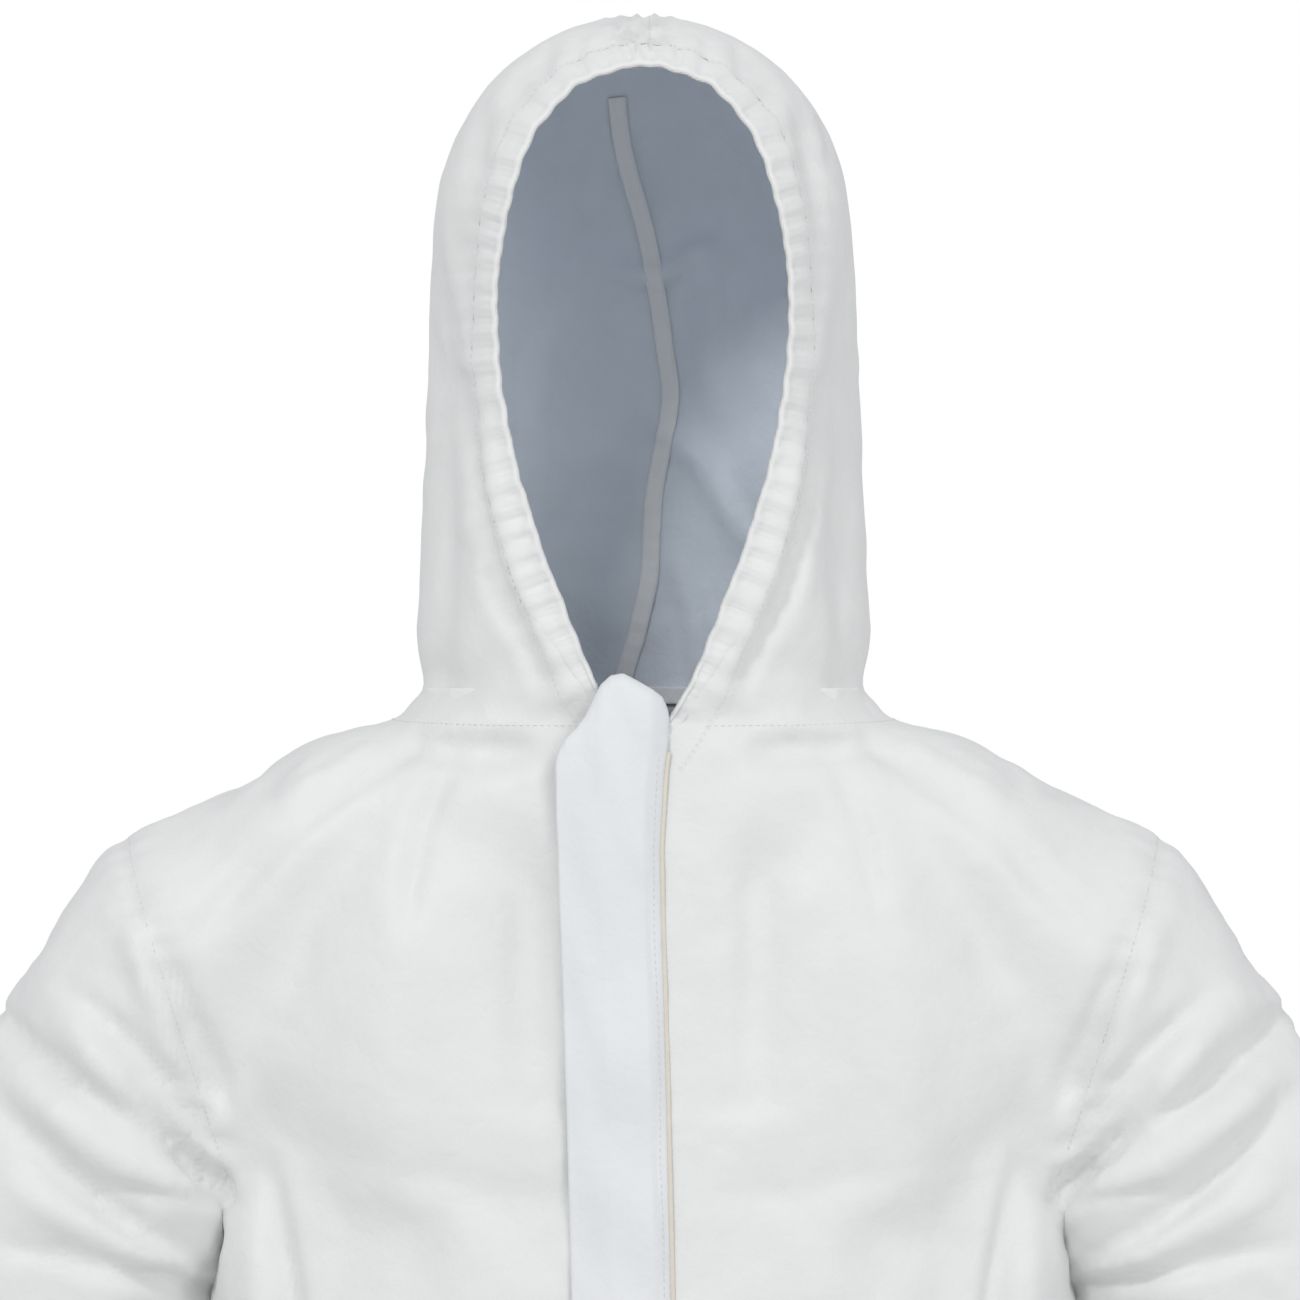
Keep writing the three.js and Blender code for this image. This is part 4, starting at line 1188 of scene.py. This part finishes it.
def row_of_rods(name, lines, settings, material):
    """Small rods along one or more lines, made plain."""
    verts, edges = [], []
    for line in lines:
        start = len(verts)
        verts += [tuple(p) for p in line]
        edges += [(start + i, start + i + 1) for i in range(len(line) - 1)]
    mesh = bpy.data.meshes.new(name)
    mesh.from_pydata(verts, edges, [])
    piece = bpy.data.objects.new(name, mesh)
    bpy.context.scene.collection.objects.link(piece)
    tree = row_tree()
    rods = piece.modifiers.new("rods", "NODES")
    rods.node_group = tree
    values = dict(settings, Material=material)
    for item in tree.interface.items_tree:
        if item.in_out == "INPUT" and item.name in values:
            rods[item.identifier] = values[item.name]
    take_evaluated(piece)
    piece.data.polygons.foreach_set("use_smooth", np.ones(len(piece.data.polygons), dtype=bool))
    return piece


def cast_line(origins, aims, lift):
    """Where rays from inside the suit meet its cloth, lifted off the surface."""
    tree = MADE["tree"]
    found = []
    for origin, aim in zip(origins, aims):
        hit, normal, _, _ = tree.ray_cast(Vector(origin), Vector(aim))
        if hit is not None:
            found.append(np.array(hit) + np.array(normal) * lift)
    return eased(np.array(found), 2)


def armhole_line(side, shift, lift):
    """A line round a sleeve beside the armhole seam."""
    run = (ARMPIT - ARMHOLE_TOP) / np.linalg.norm(ARMPIT - ARMHOLE_TOP)
    middle = (ARMPIT + ARMHOLE_TOP) / 2 + shift * np.array((-run[1], run[0]))
    centre = (side * middle[0], SHOULDER[1], middle[1])
    turns = np.linspace(0, 2 * math.pi, 260)
    aims = [(side * run[0] * math.cos(t), math.sin(t), run[1] * math.cos(t)) for t in turns]
    return cast_line([centre] * len(aims), aims, lift)


def ring_line(centre, first, second, lift, start=0.0, stop=2 * math.pi, count=260):
    """A line round the cloth in the plane of two directions."""
    turns = np.linspace(start, stop, count)
    aims = [np.array(first) * math.cos(t) + np.array(second) * math.sin(t) for t in turns]
    return cast_line([centre] * count, aims, lift)


def stitch_row(name, lines, sizes, zone, side=0, side_name=""):
    """One row of stitches, attached to the flap, a forearm or a shin, or placed as the cloth of its zone is.
    """
    settings = {
        "Spacing": sizes.stitch_spacing,
        "Length": sizes.stitch_length,
        "Thickness": sizes.thread,
        "Across": 0.0,
        "Unevenness": 0.18,
    }
    row = row_of_rods(name, lines, settings, finish("thread"))
    if zone == "flap":
        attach(row, "flap")
    elif zone in ("forearm", "shin"):
        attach(row, f"{side_name}_{zone}")
    else:
        follow(row, zone, side)


def make_stitching(sizes):
    """Rows of stitches beside the seams and round the hems."""
    suit_surface(sizes)
    lift = 0.4 * sizes.thread
    right, back, up = (1, 0, 0), (0, 1, 0), (0, 0, 1)
    for side, name in SIDES:
        armhole = armhole_line(side, -0.0030, lift)
        stitch_row(f"{name}_armhole_stitches", [armhole], sizes, "torso")
        wrist = down_sleeve(side, SLEEVE_END - 0.022)
        across = (side * math.cos(ARM_ANGLE), 0, math.sin(ARM_ANGLE))
        cuff = ring_line(wrist, across, back, lift)
        stitch_row(f"{name}_wrist_stitches", [cuff], sizes, "forearm", side, name)
        cuff = ring_line((side * 0.142, 0, ANKLE_END + 0.024), right, back, lift)
        stitch_row(f"{name}_ankle_stitches", [cuff], sizes, "shin", side, name)
    neck = ring_line((0, 0, NECK_LEVEL - 0.0035), right, (0, 1, NECK_SLOPE), lift, -1.2, math.pi + 1.2)
    stitch_row("neck_stitches", [neck], sizes, "torso")
    levels = (WAIST - 0.008, WAIST + 0.008)
    waist = [ring_line((0, 0, level), right, back, lift, 0.1, math.pi - 0.1) for level in levels]
    stitch_row("waist_stitches", waist, sizes, "torso")
    beside_seam = 0.0032
    heights = np.linspace(-0.010, -0.690, 240)
    seam = cast_line([(beside_seam, 0.0, z) for z in heights], [back] * len(heights), lift)
    stitch_row("back_seam_stitches", [seam], sizes, "torso")
    hood = ring_line((beside_seam, 0.0, 0.190), back, up, lift, -0.98, 2.30)
    stitch_row("hood_seam_stitches", [hood], sizes, "hood")
    place, out, _ = band_frames(sizes)[9]
    stitch_row("face_hem_stitches", [eased(place + out * 0.0013, 2)], sizes, "hood")
    front, out, half = MADE["flap"]
    rows = [front[:-12, 3] + out[:-12, 3] * (half + lift)]
    stitch_row("flap_stitches", rows, sizes, "flap")


# ------------------------------------------------------------------ the zip and the strips inside


def softened(node, name, material, width):
    """A bevelled copy of a node's own solid."""
    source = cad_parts[node]
    mesh = source.data.copy()
    made = bpy.data.objects.new(name, mesh)
    bpy.context.scene.collection.objects.link(made)
    net = bmesh.new()
    net.from_mesh(mesh)
    bmesh.ops.remove_doubles(net, verts=net.verts, dist=1e-6)
    bmesh.ops.dissolve_limit(net, angle_limit=math.radians(2), verts=net.verts, edges=net.edges)
    net.to_mesh(mesh)
    net.free()
    bevel = made.modifiers.new("edges", "BEVEL")
    bevel.width = width
    bevel.segments = 3
    bevel.limit_method = "ANGLE"
    take_evaluated(made)
    made.data.polygons.foreach_set("use_smooth", np.ones(len(made.data.polygons), dtype=bool))
    made.data.set_sharp_from_angle(angle=math.radians(40))
    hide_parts(node)
    return dressed(made, material)


def gathered(node, name, material, grid, ripple, beat):
    """A finely meshed copy of a strip's own solid, rippled like the real cloth or elastic."""
    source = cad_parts[node]
    mesh = source.data.copy()
    made = bpy.data.objects.new(name, mesh)
    bpy.context.scene.collection.objects.link(made)
    net = bmesh.new()
    net.from_mesh(mesh)
    bmesh.ops.remove_doubles(net, verts=net.verts, dist=1e-6)
    net.to_mesh(mesh)
    net.free()
    even = made.modifiers.new("even", "REMESH")
    even.mode = "VOXEL"
    even.voxel_size = grid
    take_evaluated(made)
    verts = relaxed(places(made.data), edges_of(made.data), 2)
    set_places(made.data, verts)
    middle = 0.5 * (verts.min(0) + verts.max(0))
    away = verts - middle
    away[:, 2] = 0
    shift = ripple * wave(verts, beat, 31)
    set_places(made.data, verts + unit(away) * shift[:, None])
    made.data.polygons.foreach_set("use_smooth", np.ones(len(made.data.polygons), dtype=bool))
    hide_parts(node)
    return dressed(made, material)


def make_zip(sizes):
    """The zip: coil teeth in rows, a rounded slider and pull tab, and finishes for its tapes and stops."""
    for side, name in SIDES:
        x = side * 0.0030
        line = resampled([on_zip(x, -0.00265, 0.0095), on_zip(x, -0.00265, ZIP_LENGTH - 0.010)], 0.01)
        settings = {
            "Spacing": 0.00145,
            "Length": 0.0031,
            "Thickness": 0.00105,
            "Across": 1.0,
            "Unevenness": 0.0,
        }
        coil = row_of_rods(f"{name}_zip_coil", [line], settings, finish("zip"))
        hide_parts(f"{name}_zip_teeth")
        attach(coil, "torso")
        for node in (f"{name}_zip_tape", f"{name}_top_stop"):
            set_material(node, finish("tape" if node.endswith("tape") else "zip"))
    set_material("zip_bottom_stop", finish("zip"))
    downs = np.linspace(0.030, ZIP_LENGTH - 0.012, 120)
    path = [on_zip(-0.0285, 0.0003, down) for down in downs]
    across = np.tile((1.0, 0.0, 0.0), (len(path), 1))
    strip = ribbon("flap_adhesive_paper", path, across, np.tile(ZIP_OUT, (len(path), 1)), 0.010, 0.0007)
    dressed(strip, finish("adhesive"))
    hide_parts("flap_adhesive_strip")
    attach(strip, "flap")
    body = softened("zip_slider", "zip_slider_body", finish("slider"), 0.00045)
    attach(body, "slider")
    tab = softened("zip_pull_tab", "zip_pull", finish("slider"), 0.00040)
    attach(tab, "tab")


def set_material(node, material):
    """Gives a node that stays as it is a finish in its own slots."""
    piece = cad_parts[node]
    for slot in piece.material_slots:
        slot.material = material
    if not piece.material_slots:
        piece.data.materials.append(material)


def make_inner_strips(sizes):
    """The elastics, tape, label and zip guard inside the cloth."""
    strips = [
        ("neck_seam_tape", "neck_tape_strip", "binding", 0.0009, 0.0003, 0.02, "torso"),
        ("size_label", "label_patch", "label", 0.0006, 0.0004, 0.03, "torso"),
        ("waist_elastic", "waist_elastic_band", "elastic", 0.0010, 0.0009, 0.02, "torso"),
        # The zip guard takes the inside colour, with its painted blue-grey shade.
        ("inner_zip_guard", "zip_guard_cloth", "cloth_inside_painted_shade", 0.0011, 0.0005, 0.05, "torso"),
    ]
    for _, name in SIDES:
        for end, beat, body in (("wrist", 0.012, "forearm"), ("ankle", 0.014, "shin")):
            node, label = f"{name}_{end}_elastic", f"{name}_{end}_band"
            strips.append((node, label, "elastic", 0.0009, 0.0003, beat, f"{name}_{body}"))
    for node, label, material, grid, ripple, beat, body in strips:
        strip = gathered(node, label, finish(material), grid, ripple, beat)
        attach(strip, body)


# ------------------------------------------------------------------ finishes


class Shader:
    """A material's node tree, with short ways to add nodes and links."""

    def __init__(self, name, colour, roughness):
        self.material = bpy.data.materials.new(name)
        self.material.use_nodes = True
        self.material.diffuse_color = tuple(colour)
        self.tree = self.material.node_tree
        self.shader = self.tree.nodes["Principled BSDF"]
        self.shader.inputs["Roughness"].default_value = roughness
        self.coordinates = self.tree.nodes.new("ShaderNodeTexCoord").outputs["Object"]

    def node(self, kind, values=None, **settings):
        made = self.tree.nodes.new(kind)
        for key, value in settings.items():
            setattr(made, key, value)
        for key, value in (values or {}).items():
            if isinstance(value, bpy.types.NodeSocket):
                self.tree.links.new(value, made.inputs[key])
            else:
                made.inputs[key].default_value = value
        return made

    def noise(self, scale, detail=3.0, roughness=0.5):
        values = {"Vector": self.coordinates, "Scale": scale, "Detail": detail, "Roughness": roughness}
        return self.node("ShaderNodeTexNoise", values).outputs["Fac"]

    def math(self, operation, first, second=0.0):
        made = self.node("ShaderNodeMath", {0: first, 1: second}, operation=operation)
        return made.outputs[0]

    def shade(self, factor, low, high):
        """Colours between two, by a factor."""
        ramp = self.node("ShaderNodeMapRange", {"Value": factor, "From Min": 0.3, "From Max": 0.7})
        mix = self.node("ShaderNodeMix", data_type="RGBA")
        self.tree.links.new(ramp.outputs[0], mix.inputs["Factor"])
        mix.inputs["A"].default_value = tuple(low)
        mix.inputs["B"].default_value = tuple(high)
        self.tree.links.new(mix.outputs["Result"], self.shader.inputs["Base Color"])

    def rough(self, factor, low, high):
        ramp = self.node("ShaderNodeMapRange", {"Value": factor, "To Min": low, "To Max": high})
        self.tree.links.new(ramp.outputs[0], self.shader.inputs["Roughness"])

    def bump(self, height, distance, strength=1.0):
        """One more layer of relief over those before it; height is a share of distance, in metres."""
        values = {"Height": height, "Distance": distance, "Strength": strength}
        made = self.node("ShaderNodeBump", values)
        before = self.shader.inputs["Normal"]
        if before.is_linked:
            self.tree.links.new(before.links[0].from_socket, made.inputs["Normal"])
        self.tree.links.new(made.outputs[0], before)


def dimmed(colour, by):
    """A darker shade."""
    return (*(channel * by for channel in colour[:3]), 1.0)


def laminate(name, colour, dark):
    """Film-laminated nonwoven: soft mottling, a fine point emboss and a crushed, papery relief."""
    cloth = Shader(name, colour, 0.55)
    mottle = cloth.noise(34.0, 5.0, 0.6)
    cloth.shade(mottle, dimmed(colour, dark), colour)
    cloth.rough(cloth.noise(90.0, 2.0), 0.46, 0.64)
    crush = cloth.noise(42.0, 3.0, 0.55)
    crush = cloth.math("ABSOLUTE", cloth.math("SUBTRACT", crush, 0.5))
    cloth.bump(crush, 0.0040, 0.34)
    cloth.bump(cloth.noise(160.0, 3.0, 0.6), 0.0007, 0.30)
    values = {"Vector": cloth.coordinates, "Scale": 850.0}
    emboss = cloth.node("ShaderNodeTexVoronoi", values, feature="SMOOTH_F1").outputs["Distance"]
    cloth.bump(emboss, 0.00018, 0.35)
    cloth.shader.inputs["Sheen Weight"].default_value = 0.10
    cloth.shader.inputs["Sheen Roughness"].default_value = 0.5
    return cloth.material


def woven(name, colour, scale, relief, roughness=0.75):
    """Ribbed or woven tape and elastic: fine bands both ways."""
    tape = Shader(name, colour, roughness)
    values = {"Vector": tape.coordinates, "Scale": scale, "Distortion": 0.6}
    rib = tape.node("ShaderNodeTexWave", values, bands_direction="Z").outputs["Fac"]
    finer = dict(values, Scale=scale * 0.8)
    cross = tape.node("ShaderNodeTexWave", finer, bands_direction="X").outputs["Fac"]
    both = tape.math("MULTIPLY", rib, cross)
    tape.shade(tape.math("ADD", tape.math("MULTIPLY", both, 0.35), 0.35), dimmed(colour, 0.86), colour)
    tape.bump(both, relief, 0.6)
    tape.bump(tape.noise(300.0, 2.0), 0.0002, 0.3)
    return tape.material


def moulded(name, colour, roughness):
    """Moulded plastic with slight wear."""
    plastic = Shader(name, colour, roughness)
    plastic.shade(plastic.noise(220.0, 3.0), dimmed(colour, 0.93), colour)
    plastic.rough(plastic.noise(400.0, 3.0), roughness - 0.06, roughness + 0.12)
    plastic.bump(plastic.noise(900.0, 2.0), 0.00006, 0.5)
    return plastic.material


def paper(name, colour):
    """Release paper or a printed-free label: smooth, faintly fibrous."""
    sheet = Shader(name, colour, 0.5)
    sheet.shade(sheet.noise(180.0, 4.0, 0.65), dimmed(colour, 0.93), colour)
    sheet.bump(sheet.noise(700.0, 3.0), 0.0001, 0.4)
    return sheet.material


def floor_finish(name, colour):
    """A plain matt floor."""
    floor = Shader(name, colour, 0.8)
    floor.shade(floor.noise(1.5, 4.0), dimmed(colour, 0.97), colour)
    floor.bump(floor.noise(60.0, 4.0), 0.0006, 0.3)
    return floor.material


def finish(kind):
    """A finish by its own name, made the first time it is asked for."""
    name = f"coverall_{kind}"
    if name in bpy.data.materials:
        return bpy.data.materials[name]
    colours = bpy.context.scene.coverall_colours
    makers = {
        "cloth": lambda: laminate(name, colours.cloth, 0.965),
        "flap": lambda: laminate(name, colours.flap, 0.975),
        # The inside colour's blue-grey tint is painted shade.
        "cloth_inside_painted_shade": lambda: laminate(name, colours.cloth_inside_painted_shade, 0.95),
        "binding": lambda: laminate(name, colours.binding, 0.95),
        "thread": lambda: woven(name, colours.thread, 900.0, 0.0001),
        "elastic": lambda: woven(name, colours.elastic, 320.0, 0.0005),
        "tape": lambda: woven(name, colours.zip, 420.0, 0.0003),
        "zip": lambda: moulded(name, colours.zip, 0.38),
        "slider": lambda: moulded(name, colours.slider, 0.32),
        "adhesive": lambda: paper(name, colours.adhesive),
        "label": lambda: paper(name, colours.label),
        "floor": lambda: floor_finish(name, colours.floor),
    }
    return makers[kind]()


# ------------------------------------------------------------------ the stage


def aimed(thing, place, target):
    """Puts a light at a place and turns it to a target."""
    thing.location = place
    thing.rotation_euler = (Vector(place) - Vector(target)).to_track_quat("Z", "Y").to_euler()


def area_light(name, place, target, size, power):
    """A round soft light."""
    light = bpy.data.lights.new(name, "AREA")
    light.shape = "DISK"
    light.size = size
    light.energy = power
    lamp = bpy.data.objects.new(name, light)
    bpy.context.scene.collection.objects.link(lamp)
    aimed(lamp, place, target)


def make_stage():
    """The floor, the soft lights, the pale surroundings and the camera."""
    scene = bpy.context.scene
    turn = 2 * math.pi * np.arange(64) / 64
    level = ANKLE_END - 0.002
    rim = [(8 * math.cos(t), 8 * math.sin(t), level) for t in turn]
    floor = dressed(mesh_object("floor", rim, [tuple(range(64))]), finish("floor"))

    area_light("key", (-1.3, -3.0, 2.6), (0, 0, -0.05), 0.8, 42.0)
    area_light("fill", (2.2, -3.1, 1.0), (0, 0, -0.1), 1.6, 22.0)

    world = bpy.data.worlds.new("studio")
    world.use_nodes = True
    scene.world = world
    nodes, link = world.node_tree.nodes, world.node_tree.links.new
    soft = nodes["Background"]
    soft.inputs["Color"].default_value = (0.96, 0.98, 1.0, 1)
    soft.inputs["Strength"].default_value = 0.62
    plain = nodes.new("ShaderNodeBackground")
    plain.inputs["Color"].default_value = (1, 1, 1, 1)
    seen = nodes.new("ShaderNodeLightPath")
    either = nodes.new("ShaderNodeMixShader")
    link(seen.outputs["Is Camera Ray"], either.inputs[0])
    link(soft.outputs[0], either.inputs[1])
    link(plain.outputs[0], either.inputs[2])
    link(either.outputs[0], nodes["World Output"].inputs["Surface"])

    view = bpy.data.cameras.new("front_view")
    view.sensor_width = 36.0
    view.lens = 36.0 * 4.0 / 0.65
    camera = bpy.data.objects.new("front_view", view)
    scene.collection.objects.link(camera)
    camera.location = (0.0035, -4.1, 0.031)
    camera.rotation_euler = (math.radians(90), 0, 0)
    scene.camera = camera
    scene.view_settings.view_transform = "Standard"


# ------------------------------------------------------------------ sizes, colours and operators


def length(label, words, value, low=0.0):
    """A size in metres."""
    return bpy.props.FloatProperty(name=label, description=words, default=value, min=low, unit="LENGTH")


def colour(label, words, value):
    """A colour that the panel shows."""
    return bpy.props.FloatVectorProperty(
        name=label, description=words, default=(*value, 1.0), size=4, subtype="COLOR", min=0.0, max=1.0
    )


class CoverallSizes(bpy.types.PropertyGroup):
    cloth_grid: length("Cloth grid", "Spacing of the cloth's points before it is smoothed", 0.0072, 0.004)
    thickness: length("Cloth thickness", "Thickness of the laminate", 0.0011)
    slack: bpy.props.FloatProperty(
        name="Slack", description="Share by which the cloth is cut too large", default=0.07, min=0.0
    )
    settle_frames: bpy.props.IntProperty(
        name="Settling", description="Steps that the cloth settles for", default=14, min=2
    )
    settle_reach: length("Settling reach", "The furthest that a place may move as the cloth settles", 0.016)
    crinkle: length("Crinkle", "Height of the small crinkles", 0.0009)
    hem_step: length("Hem step", "Spacing of the hem's rows of points", 0.0009, 0.0004)
    pucker_depth: length("Pucker depth", "Height of the puckers of the face hem", 0.0003)
    pucker_spacing: length("Pucker spacing", "Distance between the puckers of the face hem", 0.0074, 0.002)
    binding_width: length("Binding width", "Width of the strip inside the hood", 0.0095, 0.002)
    flap_thickness: length("Flap thickness", "Thickness of the folded storm flap", 0.0018, 0.0005)
    stitch_spacing: length("Stitch spacing", "Distance from one stitch to the next", 0.0036, 0.001)
    stitch_length: length("Stitch length", "Length of one stitch", 0.0026, 0.0005)
    thread: length("Thread", "Thickness of the sewing thread", 0.00042, 0.0001)


class CoverallColours(bpy.types.PropertyGroup):
    cloth: colour("Cloth", "Outside of the suit", (0.868, 0.870, 0.862))
    flap: colour("Storm flap", "The double cloth of the storm flap", (0.855, 0.866, 0.878))
    # The inside's blue-grey tint is painted shade: the cool shade inside the hood, put into the cloth's own
    # colour.
    cloth_inside_painted_shade: colour("Inside", "Inside of the suit", (0.80, 0.855, 0.925))
    # The binding's near-white is partly the tape's own pale colour and partly painted light, as if light
    # shone through the strip.
    binding: colour("Binding", "Bound seam allowances", (0.95, 0.95, 0.94))
    thread: colour("Thread", "Sewing thread", (0.88, 0.88, 0.87))
    elastic: colour("Elastic", "Elastic bands", (0.88, 0.87, 0.85))
    zip: colour("Zip", "Zip tapes, teeth and stops", (0.86, 0.86, 0.85))
    slider: colour("Slider", "Zip slider and pull tab", (0.72, 0.73, 0.74))
    # This colour also paints the line of shade along the flap's sewn edge.
    adhesive: colour("Adhesive", "Paper-faced adhesive strips", (0.80, 0.74, 0.64))
    label: colour("Label", "Blank size label", (0.88, 0.88, 0.87))
    floor: colour("Floor", "Studio floor", (0.86, 0.86, 0.86))


class CoverallStep(bpy.types.Operator):
    """Base of the steps that make the suit."""

    bl_options = {"REGISTER"}
    make = None

    def execute(self, context):
        type(self).make(context.scene.coverall_sizes)
        return {"FINISHED"}


class COVERALL_OT_cloth(CoverallStep):
    """Make the body, sleeves, legs and hood"""

    bl_idname = "coverall.cloth"
    bl_label = "Cloth"
    make = make_cloth


class COVERALL_OT_face_hem(CoverallStep):
    """Make the elasticated hem round the face"""

    bl_idname = "coverall.face_hem"
    bl_label = "Face Hem"
    make = make_face_hem


class COVERALL_OT_hood_binding(CoverallStep):
    """Make the bound seam inside the hood"""

    bl_idname = "coverall.hood_binding"
    bl_label = "Hood Binding"
    make = make_hood_binding


class COVERALL_OT_storm_flap(CoverallStep):
    """Make the storm flap over the zip"""

    bl_idname = "coverall.storm_flap"
    bl_label = "Storm Flap"
    make = make_storm_flap


class COVERALL_OT_seam_strip(CoverallStep):
    """Make the beige strip that paints the line of shade along the flap's sewn edge"""

    bl_idname = "coverall.seam_strip"
    bl_label = "Flap Seam Strip"
    make = make_seam_shade_strip


class COVERALL_OT_zip(CoverallStep):
    """Make the zip's teeth, slider and pull tab"""

    bl_idname = "coverall.zip"
    bl_label = "Zip"
    make = make_zip


class COVERALL_OT_inner_strips(CoverallStep):
    """Make the elastics, tape, label and guard inside the suit"""

    bl_idname = "coverall.inner_strips"
    bl_label = "Inner Strips"
    make = make_inner_strips


class COVERALL_OT_stitching(CoverallStep):
    """Sew rows of stitches along the seams and hems"""

    bl_idname = "coverall.stitching"
    bl_label = "Stitching"
    make = make_stitching


class COVERALL_OT_stage(bpy.types.Operator):
    """Set up the floor, lights and camera"""

    bl_idname = "coverall.stage"
    bl_label = "Stage"

    def execute(self, context):
        make_stage()
        return {"FINISHED"}


OPERATORS = (
    COVERALL_OT_stage,
    COVERALL_OT_cloth,
    COVERALL_OT_face_hem,
    COVERALL_OT_hood_binding,
    COVERALL_OT_storm_flap,
    COVERALL_OT_seam_strip,
    COVERALL_OT_zip,
    COVERALL_OT_inner_strips,
    COVERALL_OT_stitching,
)


class COVERALL_PT_panel(bpy.types.Panel):
    """The coverall's pieces, sizes and colours"""

    bl_idname = "COVERALL_PT_panel"
    bl_label = "Protective Coverall"
    bl_space_type = "VIEW_3D"
    bl_region_type = "UI"
    bl_category = "Coverall"

    def draw(self, context):
        for operator in OPERATORS:
            self.layout.operator(operator.bl_idname)
        for group in (context.scene.coverall_sizes, context.scene.coverall_colours):
            box = self.layout.box()
            for key in type(group).__annotations__:
                box.prop(group, key)


CLASSES = (CoverallSizes, CoverallColours, *OPERATORS, COVERALL_PT_panel)


def register():
    for one in CLASSES:
        bpy.utils.register_class(one)
    bpy.types.Scene.coverall_sizes = bpy.props.PointerProperty(type=CoverallSizes)
    bpy.types.Scene.coverall_colours = bpy.props.PointerProperty(type=CoverallColours)


def unregister():
    del bpy.types.Scene.coverall_colours
    del bpy.types.Scene.coverall_sizes
    for one in reversed(CLASSES):
        bpy.utils.unregister_class(one)


def main():
    register()
    for operator in OPERATORS:
        group, action = operator.bl_idname.split(".")
        getattr(getattr(bpy.ops, group), action)()


if __name__ == "__main__":
    main()
